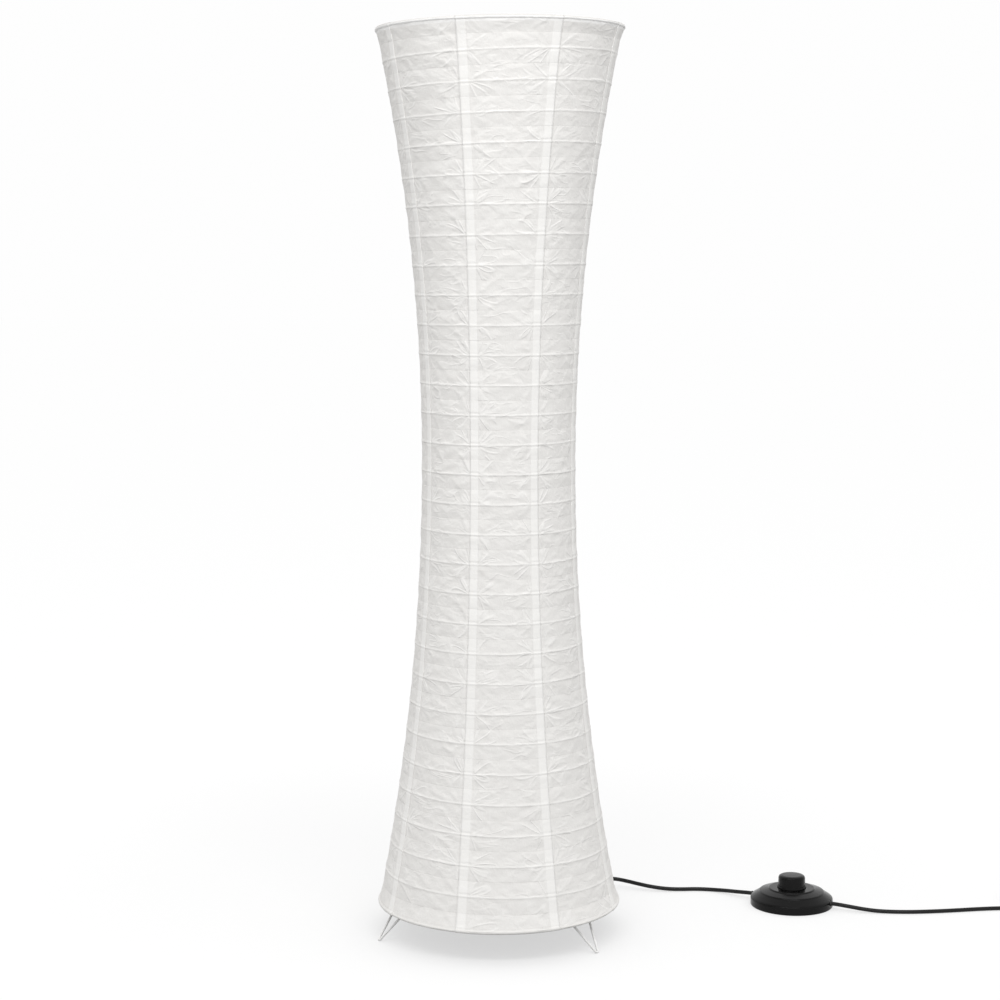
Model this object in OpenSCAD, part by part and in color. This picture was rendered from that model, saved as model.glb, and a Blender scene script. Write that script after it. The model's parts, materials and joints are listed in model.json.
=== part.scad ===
// Paper lantern floor lamp: an hourglass paper shade on a low wire stand with three legs,
// a lampholder with its bulb inside, and a mains lead with a foot switch, put away in a coil.
// Millimetres, +Z up. The origin is on the floor under the lamp's axis, and -Y is the front.

/* [Shade] */
// Height of the lamp, from the floor to the top of the shade
lamp_h = 1172; // [1100:1:1250]
// Height of the shade's lower edge over the floor
shade_foot_z = 38.9; // [38:0.1:46]
// Outer diameter of the paper-wrapped rim at the top
top_rim_d = 320; // [300:1:330]
// Outer diameter of the paper-wrapped rim at the foot
foot_rim_d = 316; // [300:1:330]
// Diameter of the paper at the waist
waist_d = 200; // [196:2:220]
// Height of the waist over the floor
waist_z = 618; // [580:1:640]
// Number of paper bands between the rims
bands = 30; // [20:1:36]
// How much taller the lowest band is than the others
foot_band_extra = 3.6; // [0:0.1:6]
// How far the fold in the middle of a band lies inwards
band_sag = 0.8; // [0.3:0.1:2]
// Thickness of the paper
paper_t = 0.4; // [0.3:0.05:0.6]
// Width of the pasted overlap between two gores, measured half way up the flare
gore_overlap = 10.5; // [6:0.5:14]
// Radial thickness of a hoop's bamboo strip
hoop_t = 1.6; // [1:0.1:2]
// Height of a hoop's bamboo strip
hoop_h = 2.2; // [1.5:0.1:3]
// Wire of the two rims
rim_wire_d = 3.2; // [2.8:0.1:4]

/* [Support inside the shade] */
// Diameter of a support rod
rod_d = 5; // [4:0.5:6]
// Circle that the three rods stand on
rod_circle_d = 176; // [160:2:178]
// Outer diameter of the sleeves and sockets that hold the rods
sleeve_d = 8.4; // [8:0.2:9]
// Length of the sleeve where two rods meet
sleeve_l = 60; // [40:5:80]
// Length of a rod socket
socket_l = 25; // [15:1:30]
// Wire of the spreader's arms
arm_d = 3.4; // [3:0.1:5]
// Diameter of the spreader's hub
spreader_hub_d = 32; // [26:1:40]

/* [Stand] */
// Diameter of the base ring, at the middle of its wire
base_ring_d = 283; // [276:1:290]
// Height of the middle of the base ring's wire over the floor
base_ring_z = 36.9; // [36:0.1:44]
// Wire of the base ring and the spokes
ring_wire_d = 4; // [3.5:0.1:4.5]
// Wire of the legs
leg_wire_d = 3; // [2.8:0.1:3.6]
// Circle that the leg tips stand on
leg_tip_circle_d = 327.4; // [318:0.2:340]
// Distance between a leg's two wires at the base ring
leg_spread = 34; // [16:1:40]
// Radius of the bend at a leg's tip
leg_bend_r = 2.4; // [2:0.2:6]
// How far the leg wires stand up past the base ring
leg_stub = 5; // [3:1:8]
// Height of the hub plate over the floor
hub_z = 76; // [74:1:84]
// Diameter of the hub plate
hub_d = 44; // [36:1:50]

/* [Lampholder and bulb] */
// Outer diameter of the lampholder
holder_d = 39; // [38:0.5:42]
// Height of the lampholder
holder_h = 58; // [56:1:62]
// Diameter over the bulb's screw cap
cap_d = 26.2; // [26:0.1:26.4]
// Greatest diameter of the bulb
bulb_d = 60; // [55:1:65]
// Length of the bulb
bulb_l = 108; // [104:1:112]

/* [Foot switch] */
// Outer diameter of the foot switch
switch_d = 111.4; // [106:0.2:114]
// Height of the button's top over the floor
button_top_z = 41.2; // [40:0.2:43]
// Greatest diameter of the button
button_d = 37.6; // [36:0.2:38]
// Depth that the button is pressed
button_travel = 4; // [2:0.5:4]

/* [Mains lead] */
// Diameter of the round mains lead
lead_d = 5.4; // [5:0.1:5.6]
// Turns in each of the coil's two layers
coil_turns = 3; // [2:1:3]
// Radius of the innermost turn, at the middle of the lead
coil_inner_r = 22; // [22:1:24]
// Step from turn to turn and from layer to layer
coil_step = 5.9; // [5.85:0.05:6.2]

/* [Hidden] */

$fn = 72;

// Plan angles, counted from +X. The front of the lamp is at -90.
leg_angles = [-160.5, -40.5, 79.5];
gores = 8;
first_seam = -108;

// The paper's hem wraps each rim wire by this turn, in two layers where gores overlap.
hem_turn = 250;
hem_steps = 9;
paste = 0.05;
layer = paper_t + paste;
hem_r = (rim_wire_d / 2 + paste) / cos(hem_turn / hem_steps / 2);
hem_out = hem_r + 2 * paper_t + paste;
rim_low_r = foot_rim_d / 2 - hem_out;
rim_high_r = top_rim_d / 2 - hem_out;
rim_low_z = shade_foot_z + hem_out;
rim_high_z = lamp_h - hem_out;
band_h = (rim_high_z - rim_low_z - foot_band_extra) / bands;

// Outer radius of the paper at a height: a parabola down and one up from the waist, each to the
// middle of its rim's wire.
function paper_r(z) =
    let (
        end_r = z < waist_z ? rim_low_r : rim_high_r,
        end_z = z < waist_z ? rim_low_z : rim_high_z
    ) waist_d / 2 + (end_r - waist_d / 2) * pow((z - waist_z) / (end_z - waist_z), 2);
function hoop_z(i) = rim_low_z + (i > 0 ? foot_band_extra : 0) + i * band_h;
function fold_z(i) = (hoop_z(i) + hoop_z(i + 1)) / 2;

// Stand levels. The shade's lower rim hangs round the base ring.
base_ring_r = base_ring_d / 2;
ring_inner_r = base_ring_r - ring_wire_d / 2;
spoke_end_r = 16;
spoke_end_z = hub_z - ring_wire_d / 2 - 0.1;
spoke_rise = atan((spoke_end_z - base_ring_z) / (ring_inner_r - spoke_end_r));
rod_circle_r = rod_circle_d / 2;
spoke_z_at_rod = base_ring_z + (ring_inner_r - rod_circle_r) * tan(spoke_rise);
hub_t = 2;

// Spreader levels. An arm ends this far inside the middle of the rim's wire, and touches the
// wire from below.
arm_tuck = 0.8;
arm_z = rim_high_z - sqrt(pow(rim_wire_d / 2, 2) - pow(arm_tuck, 2)) - paste - arm_d / 2;
rod_low_z = spoke_z_at_rod + ring_wire_d / 2 + 1;
rod_high_z = arm_z - arm_d / 2 - 1;
rod_joint_z = (rod_low_z + rod_high_z) / 2;
rod_play = 0.3;

// Lampholder and bulb levels.
holder_z = hub_z + hub_t;
nipple_d = 10;
insert_z = holder_z + 14;
insert_h = 12;
shell_top_z = holder_z + 48;
seat_z = insert_z + insert_h + 2;
holder_top_z = holder_z + holder_h;

// Foot switch: its place, and the turn of its lead about Z.
switch_xy = [399, 109];
switch_turn = -26;
lead_z_in_switch = 8;
switch_r = switch_d / 2;
plate_t = 2.5;
cartridge_h = 11.5;
cartridge_top_z = plate_t + cartridge_h;
post_circle_r = 45;
grommet_l = 11.2;

// Plug, which lies on the floor beyond the coil, with its pins along +Y.
plug_xy = [781.2, 156];
plug_t = 14;
plug_w = 35;
plug_l = 36;
relief_l = 30;
pin_d = 4;
pin_l = 19;
pin_spacing = 18.6;

// Coil of the lead.
coil_xy = [740, 119];
coil_z = 3.4;
coil_rings = 24;
coil_sides = 6;
tie_t = 0.6;

// Routes of the lead, at the middle of the lead.
// From the cord grip under the hub, down and under the base ring, along the floor to the switch.
route_to_switch = [
    [0, 0, 60], [0, 0, 56.5], [0, 0, 53], [3, 5, 44], [11, 18, 37.5], [24, 39, 34], [42, 68, 31.5],
    [62, 100, 29], [84, 132, 25.5], [109, 161, 21.5], [136, 182, 16.5], [164, 189.5, 12],
    [179, 185.5, 10.2], [194, 179, 8.3], [209, 174, 6.3], [225, 171, 4.5], [240, 170.5, 3.3],
    [256, 171.5, 2.8], [271, 172.5, 2.74], [286, 171.5, 2.74], [302, 166.5, 3.2], [316, 157, 4.8],
    [327, 146.5, 6.6], [336.8, 139.4, 7.7], [342.2, 136.7, 8], [347.6, 134.1, 8]
];
// From the switch along the floor, out of the photograph, to the start of the coil.
route_to_coil = [
    [450.4, 83.9, 8], [455.8, 81.3, 8], [461.2, 78.6, 7.8], [475, 73.5, 6.6], [490, 69.5, 4.9],
    [508, 66.5, 3.3],
    [528, 64.5, 2.75], [550, 63.5, 2.72], [572, 65, 2.7], [596, 68, 2.7], [620, 72, 2.7],
    [644, 76.5, 2.7], [668, 79.8, 2.72], [690, 80.8, 2.8], [712, 80, 3.2], [734.6, 79.3, 3.4]
];
// From the coil's last turn to the plug's strain relief.
route_to_plug = [
    [781.175, 124.4, 9.3], [781.2, 132, 9], [781.2, 140, 8], [781.2, 149, 7.1], [781.2, 156, 7]
];

// A point between p1 and p2 on a smooth curve through all four points.
function curve_point(p0, p1, p2, p3, t) =
    0.5 * (2 * p1 + (p2 - p0) * t + (2 * p0 - 5 * p1 + 4 * p2 - p3) * t * t
        + (3 * p1 - p0 - 3 * p2 + p3) * t * t * t);
// The route with one more point in the middle of each stretch.
function smoothed(route) = [
    for (i = [0 : len(route) - 2]) for (t = [0, 0.5])
        curve_point(route[max(i - 1, 0)], route[i], route[i + 1],
            route[min(i + 2, len(route) - 1)], t),
    route[len(route) - 1]
];
function unit(v) = v / norm(v);
function along(path, i) =
    unit(path[min(i + 1, len(path) - 1)] - path[max(i - 1, 0)]);
// Drops what part of side runs along the path, so that it stays square to it.
function squared(side, way) = unit(side - (side * way) * way);
function path_length(path) =
    len(path) < 2 ? 0 : [for (i = [1 : len(path) - 1]) norm(path[i] - path[i - 1])]
        * [for (i = [1 : len(path) - 1]) 1];

// A round tube along a path: one ring of points at each point of the path.
module tube(path, d, sides, first_side = [0, 1, 0]) {
    n = len(path);
    side_dirs = [
        for (i = 0, s = squared(first_side, along(path, 0)); i < n;
            i = i + 1, s = i < n ? squared(s, along(path, i)) : s) s
    ];
    points = [
        for (i = [0 : n - 1]) let (s = side_dirs[i], u = cross(along(path, i), s))
            for (k = [0 : sides - 1])
                path[i] + d / 2 * (cos(360 * k / sides) * s + sin(360 * k / sides) * u)
    ];
    walls = [
        for (i = [0 : n - 2]) for (k = [0 : sides - 1])
            let (a = i * sides + k, b = i * sides + (k + 1) % sides)
                each [[a, a + sides, b], [b, a + sides, b + sides]]
    ];
    first_end = [for (k = [1 : sides - 2]) [0, k, k + 1]];
    last = (n - 1) * sides;
    last_end = [for (k = [1 : sides - 2]) [last, last + k + 1, last + k]];
    polyhedron(points = points, faces = concat(walls, first_end, last_end), convexity = 8);
}

// The coil: it spirals in on the floor, climbs a layer in the half turn where the spiral
// reverses, and spirals out again on top.
coil_outer_r = coil_inner_r + coil_turns * coil_step;
coil_total = 2 * coil_turns + 0.25;
function coil_r(t) = coil_inner_r + coil_step * abs(coil_turns - t);
function eased(x) = let (c = min(max(x, 0), 1)) c * c * (3 - 2 * c);
function coil_point(t) =
    let (a = 360 * t - 90)
        [coil_xy[0] + coil_r(t) * cos(a), coil_xy[1] + coil_r(t) * sin(a),
            coil_z + coil_step * eased((t - coil_turns + 0.25) / 0.5)];
coil_turning = [for (i = [0 : coil_total * coil_rings]) coil_point(i / coil_rings)];
coil_path = concat(
    [coil_point(0) - [lead_d, 0, 0]], coil_turning, [coil_point(coil_total) + [0, lead_d, 0]]
);
half_loop = coil_rings / 2;
coil_gap = min([
    for (i = [0 : len(coil_path) - 1 - half_loop])
        for (k = [i + half_loop : len(coil_path) - 1]) norm(coil_path[i] - coil_path[k])
]) - lead_d;
echo(least_gap_in_coil_mm = coil_gap);
echo(lead_lengths_mm = [
    for (p = [smoothed(route_to_switch), smoothed(route_to_coil), coil_path,
        smoothed(route_to_plug)]) path_length(p)
]);

// Button spring, wound between the cartridge and the button.
spring_wire_d = 1.1;
spring_r = 7.5;
spring_curls = 6;
spring_low_z = cartridge_top_z + 0.6;
spring_high_z = button_top_z - 3.6;
spring_rings = 10;
spring_path = [
    for (i = [0 : spring_curls * spring_rings])
        let (a = 360 * i / spring_rings, f = i / (spring_curls * spring_rings))
            [spring_r * cos(a), spring_r * sin(a),
                spring_low_z + (spring_high_z - spring_low_z) * f]
];

// A round bar between two points.
module bar(from, to, d) {
    way = to - from;
    translate(from)
        rotate([0, acos(way[2] / norm(way)), atan2(way[1], way[0])])
            cylinder(h = norm(way), d = d);
}
// A wire ring about the lamp's axis.
module wire_ring(r, z, d) {
    translate([0, 0, z]) rotate_extrude() translate([r, 0]) circle(d = d, $fn = 32);
}
module at_rods() {
    for (a = leg_angles) rotate([0, 0, a]) translate([rod_circle_r, 0, 0]) children();
}
module at_switch() {
    translate([switch_xy[0], switch_xy[1], 0]) rotate([0, 0, switch_turn]) children();
}
module at_plug() {
    translate([plug_xy[0], plug_xy[1], plug_t / 2]) children();
}

// ---- Stand ----

module base_ring() {
    color("gainsboro") wire_ring(base_ring_r, base_ring_z, ring_wire_d);
}

// One leg: a wire bent to a V, with its tip on the floor and both ends against the ring's inside.
module leg(angle) {
    w = leg_wire_d / 2;
    tip_r = leg_tip_circle_d / 2;
    slant = atan((tip_r - ring_inner_r + w) / (base_ring_z - w));
    touch_r = base_ring_r - (ring_wire_d / 2 + w + paste) / cos(slant);
    top_r = sqrt(pow(touch_r, 2) - pow(leg_spread / 2, 2));
    lean = atan((tip_r - top_r) / (base_ring_z - w));
    v_h = (base_ring_z - w) / cos(lean);
    reach = sqrt(pow(leg_spread / 2, 2) + pow(v_h - leg_bend_r, 2));
    splay = atan2(leg_spread / 2, v_h - leg_bend_r) - asin(leg_bend_r / reach);
    arm_l = sqrt(reach * reach - leg_bend_r * leg_bend_r) + leg_stub;
    rotate([0, 0, angle]) translate([tip_r, 0, w]) rotate([0, -lean, 0])
        translate([0, 0, leg_bend_r]) {
            rotate([90, 0, 90]) rotate([0, 0, 180 + splay])
                rotate_extrude(angle = 180 - 2 * splay)
                    translate([leg_bend_r, 0]) circle(r = w, $fn = 32);
            for (side = [-1, 1]) rotate([-side * splay, 0, 0])
                translate([0, side * leg_bend_r, 0]) cylinder(h = arm_l, r = w);
        }
}
module leg_left() {
    color("gainsboro") leg(leg_angles[0]);
}
module leg_right() {
    color("gainsboro") leg(leg_angles[1]);
}
module leg_rear() {
    color("gainsboro") leg(leg_angles[2]);
}

// Three wires rise from the ring to the underside of the hub plate.
module stand_spokes() {
    color("gainsboro") for (a = leg_angles) rotate([0, 0, a])
        bar([ring_inner_r, 0, base_ring_z], [spoke_end_r, 0, spoke_end_z], ring_wire_d);
}

// A rod socket is a tube whose end is cut to sit on the wire that carries it.
module rod_sockets() {
    color("gainsboro") difference() {
        at_rods() translate([0, 0, spoke_z_at_rod])
            difference() {
                cylinder(h = socket_l, d = sleeve_d);
                translate([0, 0, -1]) cylinder(h = socket_l + 2, d = rod_d + 2 * rod_play);
            }
        for (a = leg_angles) rotate([0, 0, a])
            bar([ring_inner_r, 0, base_ring_z], [spoke_end_r, 0, spoke_end_z],
                ring_wire_d + 2 * paste);
    }
}

module hub_plate() {
    color("gainsboro") translate([0, 0, hub_z]) difference() {
        cylinder(h = hub_t, d = hub_d);
        translate([0, 0, -1]) cylinder(h = hub_t + 2, d = nipple_d + 0.2);
        // Three lightening holes between the spokes
        for (a = leg_angles) rotate([0, 0, a + 60]) translate([hub_d / 2 - 7, 0, -1])
            cylinder(h = hub_t + 2, d = 6);
    }
}

// ---- Lampholder ----

module holder_nipple() {
    color("silver") translate([0, 0, hub_z - 10]) difference() {
        cylinder(h = 22, d = nipple_d);
        translate([0, 0, -1]) cylinder(h = 24, d = 6.4);
    }
}

module nipple_nut() {
    color("silver") translate([0, 0, hub_z - 3.1]) difference() {
        cylinder(h = 3, d = 16.2, $fn = 6);
        translate([0, 0, -1]) cylinder(h = 5, d = nipple_d + 0.1);
    }
}

// The grip screws onto the nipple from below and holds the lead in its narrow end.
module cord_grip() {
    grip_low_z = route_to_switch[0][2];
    color("whitesmoke") difference() {
        rotate_extrude() polygon([
            [0, grip_low_z], [4.2, grip_low_z], [4.8, grip_low_z + 2.4], [7.2, grip_low_z + 4.6],
            [7.2, hub_z - 3.3], [0, hub_z - 3.3]
        ]);
        translate([0, 0, hub_z - 10.2]) cylinder(h = 12, d = nipple_d + 0.1);
    }
}

module holder_cap() {
    r = holder_d / 2;
    color("whitesmoke") rotate_extrude() polygon([
        [nipple_d / 2 + 0.1, holder_z], [9, holder_z], [12.5, holder_z + 1.4], [15.8, holder_z + 4.6],
        [17.6, holder_z + 9], [18.2, holder_z + 20], [16.9, holder_z + 20], [16.4, holder_z + 14],
        [16, holder_z + 9.6], [14.4, holder_z + 5.8], [11.8, holder_z + 3.2], [8.6, holder_z + 2],
        [nipple_d / 2 + 0.1, holder_z + 2]
    ]);
}

module holder_insert() {
    color("ivory") translate([0, 0, insert_z]) difference() {
        cylinder(h = insert_h, d = 31.6);
        // Well of the centre contact, and the two terminal screws' holes
        translate([0, 0, insert_h - 4]) cylinder(h = 5, d = 16);
        for (side = [-1, 1]) translate([side * 11.5, 0, insert_h - 8])
            cylinder(h = 9, d = 3.4);
    }
}

module screw_shell() {
    z = insert_z + insert_h;
    color("gold") rotate_extrude() polygon([
        [cap_d / 2 + 0.35, z + 5], [cap_d / 2 + 0.35, shell_top_z], [cap_d / 2 + 0.85, shell_top_z],
        [cap_d / 2 + 0.85, z + 0.05], [10.5, z + 0.05], [10.5, z + 0.55], [cap_d / 2 + 0.35, z + 0.55]
    ]);
}

// A brass tongue that springs up against the tip of the bulb's cap.
module centre_contact() {
    z = insert_z + insert_h - 4;
    color("gold") translate([0, 4, 0]) rotate([90, 0, 0]) linear_extrude(height = 8)
        polygon([
            [-6.5, z + 0.1], [0, z + 0.1], [6.5, z + 2.6], [3, seat_z - 0.5], [-2.5, seat_z - 0.5],
            [-2.5, seat_z - 1], [2.6, seat_z - 1], [5.2, z + 2.8], [-0.2, z + 0.7], [-6.5, z + 0.7]
        ]);
}

module terminal_screws() {
    color("gold") for (side = [-1, 1])
        translate([side * 11.5, 0, insert_z + insert_h - 8]) {
            cylinder(h = 6, d = 3);
            difference() {
                translate([0, 0, 6]) cylinder(h = 1.8, d = 3.2);
                translate([-2, -0.35, 7]) cube([4, 0.7, 1]);
            }
        }
}

module holder_skirt() {
    r = holder_d / 2;
    z = holder_z + 20.2;
    color("whitesmoke") rotate_extrude() polygon([
        [r - 2, z], [r - 0.4, z], [r, z + 0.4], [r, z + 13], [r - 1.1, z + 14.2],
        [r - 1.1, holder_top_z - 1], [r - 2.1, holder_top_z], [14.7, holder_top_z],
        [14.7, holder_top_z - 8], [r - 3.4, holder_top_z - 9], [r - 3.4, z + 4], [r - 2, z + 2]
    ]);
}

// ---- Bulb ----

module bulb_tip() {
    color("silver") rotate_extrude() polygon([
        [0, seat_z], [3.4, seat_z], [4.6, seat_z + 0.9], [4.6, seat_z + 1.6], [0, seat_z + 1.6]
    ]);
}

module bulb_cap() {
    r = cap_d / 2;
    z = seat_z + 1.7;
    color("silver") rotate_extrude() polygon([
        [0, z], [5.2, z], [8.6, z + 2.4], [r - 0.9, z + 4.6], [r, z + 6], [r, z + 21],
        [r - 0.4, z + 23.3], [0, z + 23.3]
    ]);
}

module bulb_housing() {
    z = seat_z + 25.1;
    color("white") rotate_extrude() polygon([
        [0, z], [cap_d / 2 + 0.5, z], [cap_d / 2 + 0.7, z + 6], [17.5, z + 13], [22.8, z + 24],
        [25.2, z + 30.8], [24.2, z + 31.6], [0, z + 31.6]
    ]);
}

// A hollow diffuser dome with an open foot that sits on the housing.
module bulb_diffuser() {
    z = seat_z + 25.1 + 31.7;
    r = bulb_d / 2;
    top_z = seat_z + bulb_l;
    mid_z = top_z - r;
    color("white") rotate_extrude() difference() {
        intersection() {
            union() {
                translate([0, mid_z]) circle(r = r, $fn = 96);
                polygon([[0, z], [25.2, z], [29.2, mid_z - 6.5], [0, mid_z - 6.5]]);
            }
            translate([0, z]) square([r + 1, top_z - z]);
        }
        translate([0, mid_z]) circle(r = r - 1.2, $fn = 96);
        translate([0, z - 1]) square([23.6, mid_z - z]);
    }
}

// ---- Shade ----

// The hem round a rim wire at [r, z], from the angle "from" on.
function hem(r, z, hem_radius, from) = [
    for (i = [0 : hem_steps]) let (a = from + i * hem_turn / hem_steps)
        [r + hem_radius * cos(a), z + hem_radius * sin(a)]
];
function fold_point(i, inset) = [paper_r(fold_z(i)) - band_sag - inset, fold_z(i)];
// One face of a sheet of paper, from the lower hem's edge to the upper hem's edge.
function sheet_face(inset, hem_radius) = concat(
    hem(rim_low_r, rim_low_z, hem_radius, 180),
    [
        for (i = [1 : bands - 1]) let (z = hoop_z(i), r = paper_r(z) - inset)
            each [fold_point(i - 1, inset), [r, z - hoop_h / 2], [r, z + hoop_h / 2]]
    ],
    [fold_point(bands - 1, inset)],
    hem(rim_high_r, rim_high_z, hem_radius, 180 - hem_turn)
);
function reversed(list) = [for (i = [len(list) - 1 : -1 : 0]) list[i]];
// A sheet's outline: k is 0 for the inner layer where gores overlap, 1 for the outer.
function sheet_section(k) = concat(
    sheet_face((1 - k) * layer, hem_r + k * layer + paper_t),
    reversed(sheet_face((1 - k) * layer + paper_t, hem_r + k * layer))
);
// The gores lie in turn over and under their neighbours.
module paper_gore(i) {
    overlap_angle = atan(gore_overlap / (top_rim_d + waist_d) * 4) / 2;
    color("white")
        rotate([0, 0, first_seam + (i - 1) * 360 / gores - overlap_angle])
            rotate_extrude(angle = 360 / gores + 2 * overlap_angle)
                polygon(sheet_section(i % 2));
}

module shade_hoops() {
    color("linen") for (i = [1 : bands - 1])
        let (r = paper_r(hoop_z(i)) - 2 * paper_t - 2 * paste)
            rotate_extrude() translate([r - hoop_t, hoop_z(i) - hoop_h / 2])
                square([hoop_t, hoop_h]);
}

module top_rim() {
    color("white") wire_ring(rim_high_r, rim_high_z, rim_wire_d);
}
module bottom_rim() {
    color("white") wire_ring(rim_low_r, rim_low_z, rim_wire_d);
}

module lower_rods() {
    color("gainsboro") at_rods() translate([0, 0, rod_low_z])
        cylinder(h = rod_joint_z - rod_low_z - paste, d = rod_d);
}
module upper_rods() {
    color("gainsboro") at_rods() translate([0, 0, rod_joint_z])
        cylinder(h = rod_high_z - rod_joint_z, d = rod_d);
}
module rod_sleeves() {
    color("silver") at_rods() translate([0, 0, rod_joint_z - sleeve_l / 2]) difference() {
        cylinder(h = sleeve_l, d = sleeve_d);
        translate([0, 0, -1]) cylinder(h = sleeve_l + 2, d = rod_d + 0.2);
    }
}
module top_sockets() {
    color("gainsboro") difference() {
        at_rods() translate([0, 0, arm_z - socket_l]) difference() {
            cylinder(h = socket_l, d = sleeve_d);
            translate([0, 0, -1]) cylinder(h = socket_l + 2, d = rod_d + 0.2);
        }
        for (a = leg_angles) rotate([0, 0, a])
            bar([0, 0, arm_z], [rim_high_r, 0, arm_z], arm_d + 2 * paste);
    }
}

// Each arm reaches under the rim, with a stud inside the rim that keeps it in place.
module spreader_arms() {
    arm_from = spreader_hub_d / 2 - 7;
    stud_r = rim_high_r - hem_out - 2;
    color("gainsboro") for (a = leg_angles) rotate([0, 0, a]) {
        bar([arm_from, 0, arm_z], [rim_high_r - arm_tuck, 0, arm_z], arm_d);
        translate([stud_r, 0, arm_z]) cylinder(h = rim_high_z + 1 - arm_z, d = 2.6);
    }
}
module spreader_hub() {
    color("gainsboro") difference() {
        translate([0, 0, arm_z - 4]) rotate_extrude() polygon([
            [0, 0], [spreader_hub_d / 2 - 1, 0], [spreader_hub_d / 2, 1],
            [spreader_hub_d / 2, 7], [spreader_hub_d / 2 - 1, 8], [0, 8]
        ]);
        for (a = leg_angles) rotate([0, 0, a])
            bar([spreader_hub_d / 2 - 7, 0, arm_z], [spreader_hub_d, 0, arm_z], arm_d + 0.1);
        translate([0, 0, arm_z - 5]) cylinder(h = 10, d = 8);
    }
}

// ---- Foot switch ----

module switch_base() {
    color("dimgray") at_switch() difference() {
        union() {
            cylinder(h = plate_t, r = switch_r - 2.4);
            // Wall that keeps the cartridge in place
            translate([0, 0, plate_t]) difference() {
                translate([-14, -12, 0]) cube([28, 24, 4]);
                translate([-12.2, -10.2, -1]) cube([24.4, 20.4, 6]);
            }
        }
        for (a = [90, 210, 330]) rotate([0, 0, a]) translate([post_circle_r, 0, 0]) {
            translate([0, 0, -1]) cylinder(h = plate_t + 2, d = 3.2);
            translate([0, 0, -1]) cylinder(h = 2.4, d = 6.4);
        }
    }
}

// A stepped dome: a flat crown round the button, two terraces with lips, and an upright side.
module switch_cover() {
    crown_z = 23.6;
    wall = 2;
    hole_r = button_d / 2 + 0.6;
    color("dimgray") at_switch() difference() {
        union() {
            rotate_extrude() polygon([
                [switch_r - 0.6, 0], [switch_r, 0.6], [switch_r, 9], [switch_r - 0.5, 10.7],
                [switch_r - 1.8, 11.9], [44.2, 18], [43.5, 19.2], [42.8, 19.4], [31.6, 22.2],
                [30.9, 23.4], [30, crown_z], [hole_r + 0.6, crown_z], [hole_r, crown_z - 0.6],
                [hole_r, crown_z - wall], [30, crown_z - wall], [42, 17.4], [switch_r - 4, 10.2],
                [switch_r - wall, 8.4], [switch_r - wall, 0]
            ]);
            // Posts that take the screws
            intersection() {
                for (a = [90, 210, 330]) rotate([0, 0, a])
                    translate([post_circle_r, 0, plate_t + 0.1]) cylinder(h = 12, d = 7);
                rotate_extrude() polygon([[0, 0], [switch_r - 3, 0], [switch_r - 3, 11], [43, 18], [0, 18]]);
            }
        }
        for (a = [90, 210, 330]) rotate([0, 0, a])
            translate([post_circle_r, 0, 0]) cylinder(h = 11, d = 2.5);
        for (side = [-1, 1]) translate([side * switch_r, 0, lead_z_in_switch]) rotate([0, 90, 0])
            translate([0, 0, -6]) cylinder(h = 12, d = 7);
    }
}

module switch_screws() {
    color("silver") at_switch() for (a = [90, 210, 330]) rotate([0, 0, a])
        translate([post_circle_r, 0, 0.2]) difference() {
            union() {
                cylinder(h = 1.2, d = 5.8);
                cylinder(h = 10, d = 2.4);
            }
            translate([-2.2, -0.35, -0.5]) cube([4.4, 0.7, 1]);
            translate([-0.35, -2.2, -0.5]) cube([0.7, 4.4, 1]);
        }
}

module switch_cartridge() {
    color("black") at_switch() difference() {
        union() {
            translate([-12, -10, plate_t + 0.1]) cube([24, 20, cartridge_h - 0.1]);
            translate([0, 0, cartridge_top_z]) cylinder(h = 4, d = 11);
        }
        translate([0, 0, 6]) cylinder(h = 20, d = 8.6);
    }
}

module cartridge_plunger() {
    color("white") at_switch() translate([0, 0, 12])
        cylinder(h = button_top_z - 2.9 - 12, d = 8);
}

module switch_terminals() {
    color("gold") at_switch() for (side = [-1, 1]) translate([side * 17.5, 0, plate_t + 0.1])
        difference() {
            translate([-3, -5, 0]) cube([6, 10, 7]);
            translate([0, 2.5, 3]) cylinder(h = 5, d = 3);
            translate([-4, -2.5, 3.4]) rotate([0, 90, 0]) cylinder(h = 8, d = 2.6);
        }
}

// Saddles inside the cover that hold the lead's sheath down on the base plate.
module switch_clamps() {
    color("dimgray") at_switch() for (side = [-1, 1]) translate([side * 36, 0, plate_t + 0.1])
        difference() {
            translate([-4, -9, 0]) cube([8, 18, 9.5]);
            translate([-5, 0, lead_z_in_switch - plate_t]) rotate([0, 90, 0])
                cylinder(h = 10, d = lead_d + 0.2);
        }
}

module switch_grommets() {
    color("black") at_switch() for (side = [-1, 1])
        translate([0, 0, lead_z_in_switch]) rotate([0, side * 90, 0])
            translate([0, 0, switch_r - grommet_l + 1.5]) union() {
                cylinder(h = grommet_l, d = 6.6);
                // Flange that keeps the grommet from being pulled out
                cylinder(h = 1.6, d = 8.8);
            }
}

module button_spring() {
    color("silver") at_switch() tube(spring_path, spring_wire_d, 6, [1, 0, 0]);
}

module switch_button() {
    r = button_d / 2;
    t = button_top_z;
    color("black") at_switch() rotate_extrude() polygon([
        [0, t], [13, t - 0.25], [r - 3, t - 0.9], [r - 1.5, t - 2], [r - 0.7, t - 4], [r - 0.4, 26],
        [r, 24.4], [r, 19.4], [r + 2, 19.4], [r + 2, 17], [r - 2.2, 17], [r - 2.6, t - 4.2],
        [r - 4, t - 2.9], [0, t - 2.8]
    ]);
}

// ---- Mains lead ----

module lead_to_switch() {
    color("black") tube(smoothed(route_to_switch), lead_d, 8);
}
module lead_to_coil() {
    color("black") tube(smoothed(route_to_coil), lead_d, 8);
}
module lead_coil() {
    color("black") tube(coil_path, lead_d, coil_sides);
}
module lead_to_plug() {
    color("black") tube(smoothed(route_to_plug), lead_d, 8, [1, 0, 0]);
}

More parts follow.
